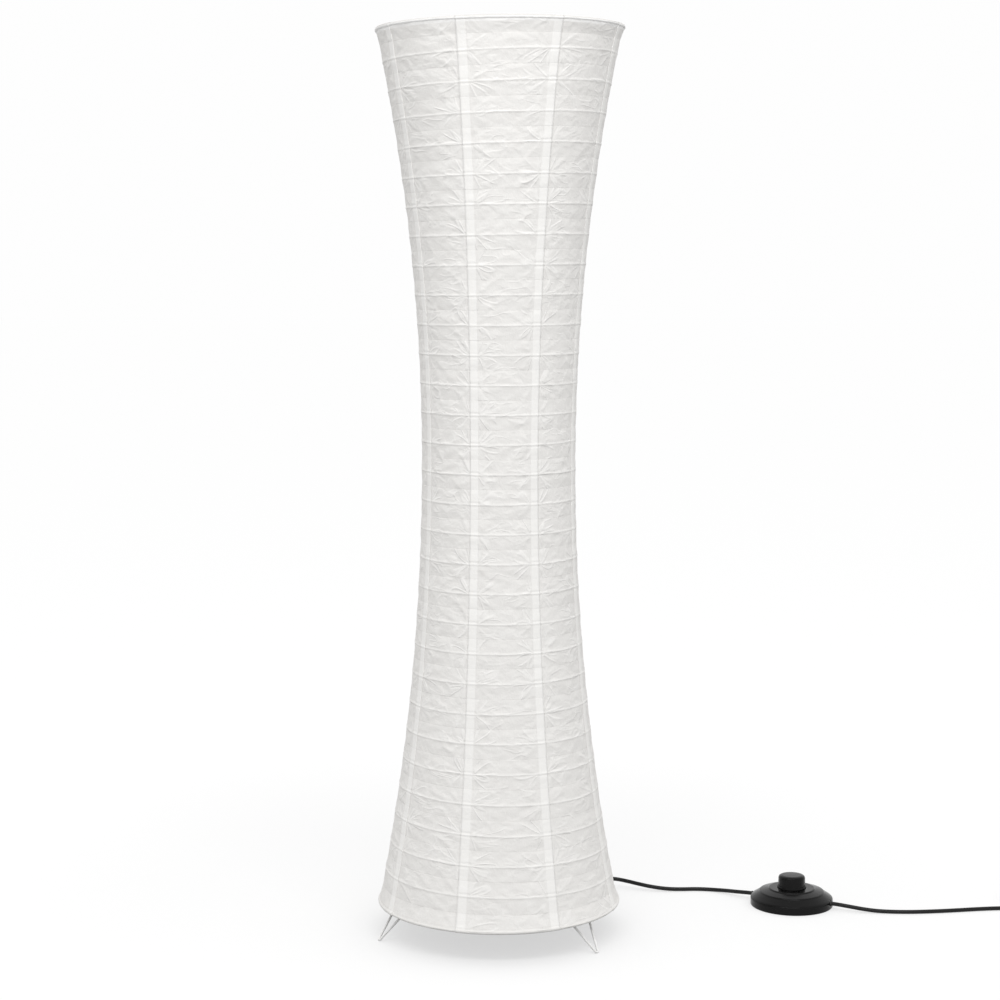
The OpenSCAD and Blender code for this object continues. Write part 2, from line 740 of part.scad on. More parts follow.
// A strap once round the coil's section.
module coil_tie() {
    from_r = coil_inner_r - 0.6;
    to_r = coil_outer_r + 0.6;
    top = coil_z + coil_step + lead_d / 2 + 0.5;
    color("black") translate([coil_xy[0], coil_xy[1], 0]) difference() {
        translate([-6, from_r - tie_t, 0]) cube([12, to_r - from_r + 2 * tie_t, top + tie_t]);
        translate([-7, from_r, tie_t]) cube([14, to_r - from_r, top - tie_t]);
    }
}

// ---- Plug ----

// Ribbed sleeve that tapers from the plug to the lead.
module plug_relief() {
    ribs = 5;
    step = relief_l / (ribs + 1);
    function taper(y) = 4 + 2.2 * y / relief_l;
    color("black") at_plug() rotate([-90, 0, 0]) rotate_extrude() polygon(concat(
        [[0, 0], [taper(0), 0]],
        [for (i = [1 : ribs]) each [
            [taper(i * step), i * step - 1.2], [taper(i * step) - 1.1, i * step - 1.2],
            [taper(i * step) - 1.1, i * step + 0.6], [taper(i * step), i * step + 0.6]
        ]],
        [[taper(relief_l), relief_l], [0, relief_l]]
    ));
}

// A flat two-pin plug: waisted in plan, thinner and rounded towards the lead.
module plug_body() {
    half = plug_w / 2;
    color("black") at_plug() translate([0, relief_l + 0.05, 0]) intersection() {
        translate([0, 0, -plug_t / 2]) linear_extrude(height = plug_t) polygon([
            [-8, 0], [8, 0], [10.5, 1], [12, 3.4], [13, 10], [14.4, 20], [16.6, 28.5], [half, 33],
            [half, plug_l - 1], [half - 1, plug_l], [1 - half, plug_l], [-half, plug_l - 1],
            [-half, 33], [-16.6, 28.5], [-14.4, 20], [-13, 10], [-12, 3.4], [-10.5, 1]
        ]);
        translate([-half - 1, 0, 0]) rotate([90, 0, 90]) linear_extrude(height = plug_w + 2)
            polygon([
                [0, -6.2], [2, -plug_t / 2], [plug_l - 1.2, -plug_t / 2], [plug_l, -plug_t / 2 + 1.2],
                [plug_l, plug_t / 2 - 1.2], [plug_l - 1.2, plug_t / 2], [24, plug_t / 2],
                [14, 6.4], [2, 6.2], [0, 5.2]
            ]);
    }
}

module plug_pins() {
    color("silver") at_plug() translate([0, relief_l + plug_l + 0.1, 0]) rotate([-90, 0, 0])
        for (side = [-1, 1]) translate([side * pin_spacing / 2, 0, 0]) {
            cylinder(h = pin_l - 1, d = pin_d);
            translate([0, 0, pin_l - 1]) cylinder(h = 1, d1 = pin_d, d2 = pin_d - 1.4);
        }
}

base_ring();
leg_left();
leg_right();
leg_rear();
stand_spokes();
rod_sockets();
hub_plate();
holder_nipple();
nipple_nut();
cord_grip();
holder_cap();
holder_insert();
screw_shell();
centre_contact();
terminal_screws();
holder_skirt();
bulb_tip();
bulb_cap();
bulb_housing();
bulb_diffuser();
for (i = [1 : gores]) paper_gore(i);
shade_hoops();
top_rim();
bottom_rim();
lower_rods();
upper_rods();
rod_sleeves();
top_sockets();
spreader_arms();
spreader_hub();
switch_base();
switch_cover();
switch_screws();
switch_cartridge();
switch_terminals();
switch_clamps();
switch_grommets();
button_spring();
cartridge_plunger();
switch_button();
lead_to_switch();
lead_to_coil();
lead_coil();
lead_to_plug();
coil_tie();
plug_relief();
plug_body();
plug_pins();
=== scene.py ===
# %% [markdown]
# # A paper lantern floor lamp
#
# The lamp is a tall hourglass of white handmade-looking paper, pasted over thin bamboo hoops.
# It stands on a low wire stand, and a black mains lead with a round foot switch leaves it at
# the back. The wire, the lampholder, the switch and the plug come from the measured frame and
# only get their finishes here. The paper, the hoops, the top rim, the lead and the spring under
# the switch's button are made in this file.

# %% Load the measured frame
import json
import math

import bpy
import numpy as np
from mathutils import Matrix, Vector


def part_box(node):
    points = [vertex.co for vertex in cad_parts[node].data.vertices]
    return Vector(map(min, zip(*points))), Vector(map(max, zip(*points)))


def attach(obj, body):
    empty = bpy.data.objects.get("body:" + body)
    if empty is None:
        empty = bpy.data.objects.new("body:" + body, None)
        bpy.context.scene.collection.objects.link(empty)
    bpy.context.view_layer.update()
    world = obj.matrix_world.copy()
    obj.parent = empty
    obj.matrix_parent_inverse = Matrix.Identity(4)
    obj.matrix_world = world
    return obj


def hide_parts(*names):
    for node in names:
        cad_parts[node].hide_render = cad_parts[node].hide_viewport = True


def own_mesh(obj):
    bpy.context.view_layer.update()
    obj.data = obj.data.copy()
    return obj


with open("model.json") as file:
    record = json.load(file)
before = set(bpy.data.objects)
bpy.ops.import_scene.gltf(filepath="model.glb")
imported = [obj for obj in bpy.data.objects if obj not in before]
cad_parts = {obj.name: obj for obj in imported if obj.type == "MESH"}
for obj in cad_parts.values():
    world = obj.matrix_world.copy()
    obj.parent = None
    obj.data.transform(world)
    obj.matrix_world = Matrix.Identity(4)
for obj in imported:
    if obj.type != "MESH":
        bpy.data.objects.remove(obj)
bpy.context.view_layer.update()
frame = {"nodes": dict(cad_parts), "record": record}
MM = 0.001

# %% [markdown]
# ## The camera
#
# A product photographer stands a few steps back and uses a long lens, so the shade's sides
# stay nearly parallel. The camera here could be placed by eye, but then nothing would line up.
# Its lens, height and tilt were fitted to the hoops' ellipses instead. The lens shift does what
# a view camera does: it moves the picture down without tilting the lamp.

# %% Camera
PICTURE_W = 1000  # pixels
FOCAL_PX = 2213
SENSOR_W = 36  # mm
SHIFT_DOWN = 0.08  # as a share of the picture's width
CAMERA_AT = (0.0015, -2.854, 0.8737)
LOOK_DOWN = math.radians(4.09)

lens = bpy.data.cameras.new("studio_camera")
lens.sensor_width = SENSOR_W
lens.lens = SENSOR_W * FOCAL_PX / PICTURE_W
lens.shift_y = -SHIFT_DOWN
camera = bpy.data.objects.new("studio_camera", lens)
camera.location = CAMERA_AT
camera.rotation_euler = (math.pi / 2 - LOOK_DOWN, 0, 0)
bpy.context.collection.objects.link(camera)
bpy.context.scene.camera = camera
bpy.context.scene.view_settings.view_transform = "Standard"
print("lens:", round(lens.lens, 2), "mm")

# %% [markdown]
# ## A short way to write materials
#
# Every finish below is a small net of shader nodes. Such a net could be drawn in the editor and
# saved, but a script shows what each number does. The helper adds one node, sets its values by
# the names of its sockets, and joins it to any socket that is passed instead of a number.


# %% Node helper
def add(tree, kind, inputs=None, **settings):
    made = tree.nodes.new("ShaderNode" + kind)
    for name, value in settings.items():
        setattr(made, name, value)
    for name, value in (inputs or {}).items():
        socket = made.inputs[name]
        if isinstance(value, bpy.types.NodeSocket):
            tree.links.new(value, socket)
        else:
            socket.default_value = value
    return made


def new_finish(name, roughness, **sockets):
    """A material with one Principled node; sockets are its plain numbers."""
    finish = bpy.data.materials.new(name)
    finish.use_nodes = True
    skin = finish.node_tree.nodes["Principled BSDF"]
    skin.inputs["Roughness"].default_value = roughness
    for socket, value in sockets.items():
        skin.inputs[socket.replace("_", " ")].default_value = value
    return finish, finish.node_tree, skin


def math_node(tree, operation, a, b=0.0):
    made = tree.nodes.new("ShaderNodeMath")
    made.operation = operation
    for socket, value in zip(made.inputs, (a, b)):
        if isinstance(value, bpy.types.NodeSocket):
            tree.links.new(value, socket)
        else:
            socket.default_value = value
    return made.outputs[0]


def times(tree, a, b):
    return math_node(tree, "MULTIPLY", a, b)


def less(tree, a, b):
    return math_node(tree, "SUBTRACT", a, b)


def distance_from(tree, a, b):
    return math_node(tree, "ABSOLUTE", less(tree, a, b))


def step_between(tree, value, low, high, out_low=0.0, out_high=1.0):
    """A soft step from out_low to out_high while value goes from low to high."""
    made = add(
        tree, "MapRange",
        {"Value": value, "From Min": low, "From Max": high, "To Min": out_low, "To Max": out_high},
        interpolation_type="SMOOTHSTEP",
    )
    return made.outputs["Result"]


def stripe(tree, value, start, full, fading, end):
    """1 while value lies between full and fading, and 0 before start and after end."""
    return times(tree, step_between(tree, value, start, full),
                 step_between(tree, value, fading, end, 1, 0))


def place(tree, stretch=(1, 1, 1)):
    """The point on the piece, in metres, stretched by a factor along each axis."""
    at = add(tree, "TexCoord").outputs["Object"]
    return add(tree, "Mapping", {"Vector": at, "Scale": stretch}).outputs["Vector"]


def noise(tree, where, scale, detail=2.0, distortion=0.0):
    made = add(
        tree, "TexNoise",
        {"Vector": where, "Scale": scale, "Detail": detail, "Distortion": distortion},
    )
    return made.outputs["Fac"]


def tint(tree, factor, dark, light):
    """A colour between dark and light."""
    mixed = add(tree, "Mix", data_type="RGBA")
    for name, value in (("Factor", factor), ("A", dark), ("B", light)):
        socket = next(s for s in mixed.inputs if s.name == name and s.enabled)
        if isinstance(value, bpy.types.NodeSocket):
            tree.links.new(value, socket)
        elif name == "Factor":
            socket.default_value = value
        else:
            socket.default_value = (*value, 1)
    return next(s for s in mixed.outputs if s.enabled)


def relief(tree, skin, height, depth, strength=1.0):
    """Bumps the surface by a height from 0 to 1, depth metres deep."""
    bump = add(tree, "Bump", {"Height": height, "Distance": depth, "Strength": strength})
    tree.links.new(bump.outputs["Normal"], skin.inputs["Normal"])


# %% [markdown]
# ## The mains lead
#
# A floor lamp's lead is a round black two-core cable, 5.4 mm thick. It drops out of the cord
# grip, passes under the base ring, runs in one loose curve to the foot switch and goes on along
# the floor. What the picture doesn't show is wound up and tied. A tube could be swept in mesh
# code, but a curve with a round bevel keeps its centre line, so its length can be measured.

# %% Routes of the lead
LEAD_D = 5.4 * MM
STEPS = 4  # pieces that each stretch of a route is cut into

TO_SWITCH = [
    (0, 0, 0.060), (0, 0, 0.0565), (0, 0, 0.053), (0.003, 0.005, 0.044),
    (0.011, 0.018, 0.0375), (0.024, 0.039, 0.034), (0.042, 0.068, 0.0315),
    (0.062, 0.100, 0.029), (0.084, 0.132, 0.0255), (0.109, 0.161, 0.0215),
    (0.136, 0.182, 0.0165), (0.164, 0.1895, 0.012), (0.179, 0.1855, 0.0102),
    (0.194, 0.179, 0.0083), (0.209, 0.174, 0.0063), (0.225, 0.171, 0.0045),
    (0.240, 0.1705, 0.0033), (0.256, 0.1715, 0.0028), (0.271, 0.1725, 0.00274),
    (0.286, 0.1715, 0.00274), (0.302, 0.1665, 0.0032), (0.316, 0.157, 0.0048),
    (0.327, 0.1465, 0.0066), (0.3368, 0.1394, 0.0077), (0.3422, 0.1367, 0.008),
    (0.3476, 0.1341, 0.008),
]
TO_COIL = [
    (0.4504, 0.0839, 0.008), (0.4558, 0.0813, 0.008), (0.4612, 0.0786, 0.0078),
    (0.475, 0.0735, 0.0066), (0.490, 0.0695, 0.0049), (0.508, 0.0665, 0.0033),
    (0.528, 0.0645, 0.00275), (0.550, 0.0635, 0.00272), (0.572, 0.065, 0.0027),
    (0.596, 0.068, 0.0027), (0.620, 0.072, 0.0027), (0.644, 0.0765, 0.0027),
    (0.668, 0.0798, 0.00272), (0.690, 0.0808, 0.0028), (0.712, 0.080, 0.0032),
    (0.7346, 0.0793, 0.0034),
]
TO_PLUG = [
    (0.7812, 0.1244, 0.0093), (0.7812, 0.132, 0.009), (0.7812, 0.140, 0.008),
    (0.7812, 0.149, 0.0071), (0.7812, 0.156, 0.007),
]


def smoothed(route):
    """The route with more points, on a smooth curve through the ones given."""
    p = np.array(route, float)
    before, after = np.vstack([p[:1], p[:-2]]), np.vstack([p[2:], p[-1:]])
    a, b = p[:-1], p[1:]
    made = []
    for t in np.arange(STEPS) / STEPS:
        made.append(0.5 * (
            2 * a + (b - before) * t + (2 * before - 5 * a + 4 * b - after) * t ** 2
            + (3 * a - before - 3 * b + after) * t ** 3
        ))
    return np.vstack([np.stack(made, 1).reshape(-1, 3), p[-1:]])


# %% [markdown]
# ## The coil
#
# The spare lead lies in a flat coil, as it does when a lamp is put away: it spirals in on the
# floor, climbs one thickness while the spiral turns back, and spirals out on top. A list of
# points would be long and easy to get wrong, so a loop works the turns out.

# %% Coil
COIL_CENTRE = (0.740, 0.119, 0.0034)
COIL_R = 22 * MM
COIL_STEP = 5.9 * MM
COIL_TURNS = 3  # in each of the two layers
LAST_TURN = 0.25  # the lead leaves a quarter turn further on, towards the plug
CLIMB_TURNS = 0.5
TURN_POINTS = 48


def coil_points():
    total = 2 * COIL_TURNS + LAST_TURN
    t = np.arange(int(total * TURN_POINTS) + 1) / TURN_POINTS
    angle = 2 * math.pi * t - math.pi / 2
    r = COIL_R + COIL_STEP * abs(COIL_TURNS - t)
    climb = np.clip((t - COIL_TURNS) / CLIMB_TURNS + 0.5, 0, 1)
    x, y, z = COIL_CENTRE
    return np.stack([
        x + r * np.cos(angle), y + r * np.sin(angle),
        z + COIL_STEP * climb ** 2 * (3 - 2 * climb),
    ], 1)


def length_of(points):
    return float(np.linalg.norm(np.diff(points, axis=0), axis=1).sum())


def round_curve(name, points, thickness, finish):
    """A round lead or wire through the points, as one open spline."""
    curve = bpy.data.curves.new(name, "CURVE")
    curve.dimensions = "3D"
    curve.bevel_depth = thickness / 2
    curve.bevel_resolution = 6
    curve.use_fill_caps = True
    spline = curve.splines.new("POLY")
    spline.points.add(len(points) - 1)
    for spot, p in zip(spline.points, points):
        spot.co = (*p, 1)
    spline.use_smooth = True
    curve.materials.append(finish)
    made = bpy.data.objects.new(name, curve)
    bpy.context.collection.objects.link(made)
    print(name, round(length_of(points), 3), "m,", len(points), "points")
    return made


# %% Finish of the lead
def black_sheath():
    """Smooth black cable sheath: a soft sheen and faint drawing lines along it."""
    finish, tree, skin = new_finish("black_sheath", 0.30, Specular_IOR_Level=0.25)
    where = place(tree)
    cloud = noise(tree, where, 60, 3)
    tree.links.new(tint(tree, cloud, (0.005, 0.005, 0.005), (0.010, 0.010, 0.010)),
                   skin.inputs["Base Color"])
    tree.links.new(step_between(tree, cloud, 0.3, 0.7, 0.26, 0.34), skin.inputs["Roughness"])
    relief(tree, skin, noise(tree, where, 900, 2), 0.05 * MM)
    return finish


sheath = black_sheath()

# %% [markdown]
# ## The button's spring
#
# A coil spring stands under the foot switch's button and gets shorter when the button is
# pressed. The measured pieces keep their shape when they move, so a spring left as it is would
# poke through the pressed button. It is wound again here as one helix and turned into a mesh.


# %% Wind the spring
def spring_wire():
    finish, tree, skin = new_finish("spring_wire", 0.25, Metallic=1.0)
    oiled = noise(tree, place(tree), 400, 2)
    tree.links.new(tint(tree, oiled, (0.36, 0.36, 0.37), (0.52, 0.52, 0.53)),
                   skin.inputs["Base Color"])
    return finish


SPRING_WIRE_D = 1.1 * MM
SPRING_CURLS = 6
CURL_POINTS = 36
spring_low, spring_high = (np.array(corner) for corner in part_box("button_spring"))
spring_middle = (spring_low + spring_high) / 2
spring_r = (spring_high[1] - spring_low[1] - SPRING_WIRE_D) / 2
curl = np.linspace(0, SPRING_CURLS, SPRING_CURLS * CURL_POINTS + 1)
spring_points = np.stack([
    spring_middle[0] + spring_r * np.cos(2 * math.pi * curl),
    spring_middle[1] + spring_r * np.sin(2 * math.pi * curl),
    np.interp(curl, [0, SPRING_CURLS],
              [spring_low[2] + SPRING_WIRE_D / 2, spring_high[2] - SPRING_WIRE_D / 2]),
], 1)
steel = spring_wire()
helix = round_curve("spring_helix", spring_points, SPRING_WIRE_D, steel)
wound = bpy.data.meshes.new_from_object(helix.evaluated_get(bpy.context.evaluated_depsgraph_get()))
bpy.data.objects.remove(helix)
spring = bpy.data.objects.new("button_coil_spring", wound)
bpy.context.collection.objects.link(spring)
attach(spring, "stand")
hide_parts("button_spring")
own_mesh(spring)

first_points = smoothed(TO_SWITCH)
lead_in = round_curve("lead_lamp_to_switch", first_points, LEAD_D, sheath)
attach(lead_in, "stand")
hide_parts("lead_to_switch")

second_points = np.vstack([smoothed(TO_COIL)[:-1], coil_points(), smoothed(TO_PLUG)])
lead_out = round_curve("lead_switch_to_plug", second_points, LEAD_D, sheath)
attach(lead_out, "stand")
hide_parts("lead_to_coil", "lead_coil", "lead_to_plug")

# %% [markdown]
# ## The size of the shade
#
# The shade's height and its rims come from the frame. Between them the paper narrows to a
# waist along two parabolas, which is how a row of hoops of steadily changing size looks. The
# paper is pasted over 29 hoops, so it has 30 bands, each with a fold half way up, where it
# bends inwards when the lantern is pressed flat.

# %% Shade measures
BANDS = 30
GORES = 8
GORE_ANGLE = 2 * math.pi / GORES
FIRST_SEAM = math.radians(-108)  # plan angle, counted from +X
WAIST_R = 99.5 * MM
WAIST_Z = 618 * MM
FOOT_BAND_EXTRA = 3.6 * MM  # how much taller the lowest band is than the others
PAPER_T = 0.4 * MM
LAYER = 0.45 * MM
RIM_WIRE_R = 1.6 * MM

rim_low, rim_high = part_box("bottom_rim"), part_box("top_rim")
RIM_LOW_Z = (rim_low[0][2] + rim_low[1][2]) / 2
RIM_HIGH_Z = (rim_high[0][2] + rim_high[1][2]) / 2
RIM_LOW_R = rim_low[1][0] - RIM_WIRE_R
RIM_HIGH_R = rim_high[1][0] - RIM_WIRE_R
BAND_H = (RIM_HIGH_Z - RIM_LOW_Z - FOOT_BAND_EXTRA) / BANDS
HOOP_NUMBERS = np.arange(BANDS + 1)
HOOP_Z = RIM_LOW_Z + HOOP_NUMBERS * BAND_H + np.where(HOOP_NUMBERS > 0, FOOT_BAND_EXTRA, 0)


def paper_r(z):
    below = np.asarray(z) < WAIST_Z
    end_r, end_z = np.where(below, RIM_LOW_R, RIM_HIGH_R), np.where(below, RIM_LOW_Z, RIM_HIGH_Z)
    return WAIST_R + (end_r - WAIST_R) * ((z - WAIST_Z) / (end_z - WAIST_Z)) ** 2


print("rims at", round(RIM_LOW_Z, 4), round(RIM_HIGH_Z, 4), "m, band", round(BAND_H * 1000, 2), "mm")

# %% [markdown]
# ## Hoops that aren't quite level
#
# A maker ties the hoops by eye, so on the real lamp many of them lean a little: the upper ones
# rise to the right, and the lowest ones fall. Level hoops would look machine-made, and so would
# a perfectly straight middle line. One function gives the lean and the slight bow at any height,
# and the paper, the hoops and the top rim all use it, so that they stay together.

# %% Lean of the hoops
LEAN_AT = [0, 1, 3, 4, 5, 7, 19, 25, 26, 28.9, 29, 30]
LEAN_DEG = [0, -1.2, -1.2, -0.9, -0.5, 0, 0, 1.6, 1.7, 2.1, 2.1, 0.6]
BOW = 1.0 * MM  # how far the middle of the shade lies to the left
TOP_SHIFT = 1.6 * MM  # how far the top of the shade lies to the right
hoop_play = np.random.default_rng(7)
PLAY_X = np.radians(hoop_play.uniform(-0.16, 0.16, BANDS + 1))
PLAY_Y = np.radians(hoop_play.uniform(-0.16, 0.16, BANDS + 1))
PLAY_X[[0, -1]] = PLAY_Y[[0, -1]] = 0


def settled(x, y, z):
    """A point of the shade after its hoop's lean and the shade's bow."""
    hoop = np.interp(z, HOOP_Z, HOOP_NUMBERS)
    across = np.radians(np.interp(hoop, LEAN_AT, LEAN_DEG)) + np.interp(hoop, HOOP_NUMBERS, PLAY_X)
    back = np.interp(hoop, HOOP_NUMBERS, PLAY_Y)
    share = np.clip(hoop / BANDS, 0, 1)
    aside = TOP_SHIFT * share - BOW * 4 * share * (1 - share)
    return x + aside, y, z + x * np.tan(across) + y * np.tan(back)


print("greatest lean", max(LEAN_DEG), "degrees")

# %% [markdown]
# ## How creased paper is built
#
# The paper between two hoops isn't smooth. It has the fold, flat wedges that fan out of the
# corners where the stiff seams hold it, and small creases from handling. Cloth simulation makes
# soft folds, not the sharp ones of paper, and a bump map alone vanishes at the edge of the
# shade. So the larger folds are worked out as heights: a fan is a cone of flat wedges round its
# corner, and a crease is a short line that the paper rises towards like the roof of a tent. The
# thinnest creases come later, in the paper's finish.

# %% Kinds of crease
def smooth_step(value, low, high):
    t = np.clip((value - low) / (high - low), 0, 1)
    return t * t * (3 - 2 * t)


def roof(x, y, start, end, bend, height, width):
    """A crease from start to end, bent sideways, as a height at the points x, y."""
    (x0, y0), (x1, y1) = start, end
    length = math.hypot(x1 - x0, y1 - y0)
    ux, uy = (x1 - x0) / length, (y1 - y0) / length
    t = ((x - x0) * ux + (y - y0) * uy) / length
    side = (x - x0) * -uy + (y - y0) * ux - bend * 4 * np.clip(t, 0, 1) * (1 - np.clip(t, 0, 1))
    beyond = np.maximum(np.maximum(-t, t - 1), 0) * length
    far = np.hypot(side, beyond)
    fade = np.clip(np.minimum(t + 0.1, 1.1 - t) / 0.3, 0, 1)
    return height * np.exp(-far / width) * fade


def corner_fan(x, y, corner, side, up, rng):
    """Flat wedges that fan out of a corner of the panel and die out along the way."""
    across, away = (corner[0] - x) * side, (y - corner[1]) * up
    far = np.hypot(across, away)
    turn = np.arctan2(np.maximum(away, 0), np.maximum(across, 1e-6))
    edges = np.cumsum(rng.uniform(0.16, 0.38, 8))
    edges = np.concatenate([[0], edges[edges < 1.4], [math.pi / 2]])
    steep = np.zeros(len(edges))
    sign = rng.choice([-1, 1])
    for k in range(1, len(edges) - 1):
        steep[k] = sign * (-1) ** k * rng.uniform(0.004, 0.013)
    reach = rng.uniform(20, 40) * MM
    return far * np.interp(turn, edges, steep) * (1 - smooth_step(far, 0.45 * reach, reach))


FACET_SLOPE = 0.022


def facets(x, y, rng):
    """Overlapping folds that run right across the panel, bent by a slow wave."""
    total = 0
    warp_x = x + 2.5 * MM * np.sin(y / (9 * MM) + rng.uniform(0, 6))
    warp_y = y + 2.5 * MM * np.sin(x / (13 * MM) + rng.uniform(0, 6))
    for _ in range(4):
        angle, period = rng.normal(math.pi / 2, 0.7), rng.uniform(13, 27) * MM
        along = (warp_x * math.cos(angle) + warp_y * math.sin(angle)) / period + rng.uniform()
        total = total + FACET_SLOPE * period / 2 * (abs(2 * (along % 1) - 1) - 0.5)
    return total


# %% [markdown]
# ## Habits of the gores
#
# A lantern is folded flat and packed, so the bands of one gore crease alike: the same long fold
# shows again in every band, a little different each time. Writing 240 panels out one by one
# would be endless, and purely random ones lose the likeness. Each gore therefore gets a short
# list of habits, and every band repeats them with some play and adds small creases of its own.

# %% Habits
# A habit is a crease: start and end across the panel (-1 left edge, 1 right edge) and up the
# band (0 to 1), then its sideways bend and its height in mm.
HABITS = {
    8: [
        (-0.68, 0.90, -0.30, 0.26, 2.5, 0.95), (0.24, 0.84, 0.92, 0.06, 3.5, 1.15),
        (0.68, 0.55, 0.96, 0.05, 2.0, 0.7), (-0.25, 0.30, 0.55, 0.14, -1.0, 0.6),
        (0.98, 0.78, 0.60, 0.58, 0.5, 0.6),
    ],
    1: [
        (0.97, 0.96, 0.42, 0.52, 1.0, 1.1), (-0.97, 0.94, -0.44, 0.50, -1.0, 0.8),
        (-0.96, 0.06, -0.44, 0.45, -1.0, 0.8), (0.95, 0.08, 0.45, 0.42, 1.0, 0.95),
        (-0.42, 0.50, 0.30, 0.38, 1.5, 0.55), (-0.30, 0.24, 0.42, 0.30, 1.0, 0.5),
    ],
    2: [
        (-0.97, 0.06, -0.50, 0.50, -1.0, 1.0), (-0.95, 0.92, -0.25, 0.58, 0.5, 0.6),
        (-0.02, 0.50, 0.42, 0.86, 1.5, 0.8), (0.20, 0.10, 0.30, 0.46, 0.8, 0.6),
        (0.72, 0.92, 0.50, 0.40, 1.5, 0.7),
    ],
}
habit_rng = np.random.default_rng(41)
for number in (3, 4, 5, 6, 7):
    HABITS[number] = [
        (side * 0.96, top, side * habit_rng.uniform(0.25, 0.6), habit_rng.uniform(0.35, 0.6),
         habit_rng.uniform(-2.5, 2.5), habit_rng.uniform(0.5, 1.0))
        for side in (-1, 1) for top in (0.06, 0.94)
    ]


SKIPPED = 0.14  # share of the bands in which a habit doesn't show


def panel_creases(x, y, width, number, rng):
    """Height of the creases of one panel; x runs from the panel's middle, y from the hoop."""
    half = width / 2
    rise = facets(x, y, rng)
    for side in (-1, 1):
        for up in (-1, 1):
            rise = rise + corner_fan(x, y, (side * half, 0 if up > 0 else BAND_H), side, up, rng)
    for x0, y0, x1, y1, bend, height in HABITS[number]:
        if rng.random() < SKIPPED:
            continue
        x0, x1 = x0 + rng.normal(0, 0.03), x1 + rng.normal(0, 0.09)
        y0, y1 = y0 + rng.normal(0, 0.02), y1 + rng.normal(0, 0.07)
        height, wide = height * rng.uniform(0.35, 0.65), rng.uniform(1.8, 2.8)
        start, end = (x0 * half, y0 * BAND_H), (x1 * half, y1 * BAND_H)
        rise += roof(x, y, start, end, bend * rng.uniform(0.4, 1.5) * MM, height * MM, wide * MM)
    for _ in range(rng.integers(4, 8)):
        cx, cy = rng.uniform(-0.92, 0.92) * half, rng.uniform(0.10, 0.90) * BAND_H
        angle = rng.normal(0, 0.62)
        reach = rng.uniform(3, 9) * MM
        dx, dy = reach * math.cos(angle), reach * math.sin(angle)
        rise += roof(x, y, (cx - dx, cy - dy), (cx + dx, cy + dy), rng.uniform(-2, 2) * MM,
                     rng.choice([-0.7, 1]) * rng.uniform(0.12, 0.30) * MM, rng.uniform(1.2, 2.0) * MM)
    return rise


print("habits:", sum(len(folds) for folds in HABITS.values()))

# %% [markdown]
# ## One gore
#
# A gore is one of the eight tall sheets that make the shade. It runs from hem to hem, and each
# of its long edges overlaps a neighbour by about 12 mm. It could be cut from a ring of paper,
# but real gores are separate, and the edge of the upper one shows as a fine line. So each gore
# is its own grid of points: rows up the shade, closer together at the hoops, and columns across
# it, closer together in the two strips. A UV map keeps each point's place in the sheet, across
# the panel and in bands, and the paper's finish reads it.

# %% Gore grid
FOLD_IN = 0.65 * MM  # how far the middle of a band lies inwards
HOOP_OUT = 0.32 * MM  # how far a hoop lifts the paper
STRIP_HALF_WAIST, STRIP_HALF_RIM = 5.2 * MM, 6.4 * MM
HALF_ROWS = [0, 0.012, 0.028, 0.05, 0.08, 0.12, 0.165, 0.21, 0.255, 0.305, 0.355, 0.405, 0.455, 0.5]
STRIP_COLUMNS = 5
PANEL_COLUMNS = 50
HEM_STEPS = 14
HEM_TURN = math.radians(250)


def strip_half(z):
    """Half the width of a seam's overlap at a height."""
    share = abs(z - WAIST_Z) / (RIM_HIGH_Z - WAIST_Z)
    return STRIP_HALF_WAIST + (STRIP_HALF_RIM - STRIP_HALF_WAIST) * share


def panel_half(z):
    """Half the width of the panel between its two strips."""
    return GORE_ANGLE / 2 * paper_r(z) - strip_half(z)


def row_places(low_start, high_end):
    """Rows as bands from the lower rim: 0.5 is the first fold, 1 the first hoop."""
    band = HALF_ROWS + [1 - v for v in HALF_ROWS[-2:0:-1]]
    rows = np.array([i + v for i in range(BANDS) for v in band] + [BANDS])
    low, high = rows < 0.5, rows > BANDS - 0.5
    rows[low] = low_start + rows[low] * (0.5 - low_start) / 0.5
    rows[high] = high_end - (BANDS - rows[high]) * (high_end - BANDS + 0.5) / 0.5
    return rows


def column_places(z):
    """Distances from the gore's middle line, for one row."""
    half = GORE_ANGLE / 2 * paper_r(z)
    strip = strip_half(z)
    edge = np.linspace(half - strip, half + strip, STRIP_COLUMNS + 1)
    panel = np.linspace(-(half - strip), half - strip, PANEL_COLUMNS + 1)
    return np.concatenate([-edge[:0:-1], panel, edge[1:]])


def gore_relief(number, z, place_x, band):
    """How far the paper of a row-by-column grid lies outside the smooth hourglass."""
    inside = band % 1
    tent = 1 - abs(2 * inside - 1)
    half_panel = panel_half(z)
    in_panel = smooth_step(half_panel - abs(place_x), 0, 4 * MM)
    sag = -FOLD_IN * (tent + 0.06 * np.sin(2 * np.pi * tent)) * (0.62 + 0.38 * in_panel)
    off_hoop = np.minimum(inside, 1 - inside) * BAND_H
    lift = HOOP_OUT * np.clip(1 - (off_hoop / (2.1 * MM)) ** 2, 0, 1) ** 2
    creases = np.zeros_like(place_x)
    for i in range(BANDS):
        rows = (band[:, 0] > i) & (band[:, 0] < i + 1)
        rng = np.random.default_rng(1000 + 50 * number + i)
        width = float(2 * half_panel[rows].mean())
        creases[rows] = panel_creases(place_x[rows], inside[rows] * BAND_H, width, number, rng)
    return sag + lift + creases * in_panel * smooth_step(off_hoop, 0.6 * MM, 3.6 * MM)


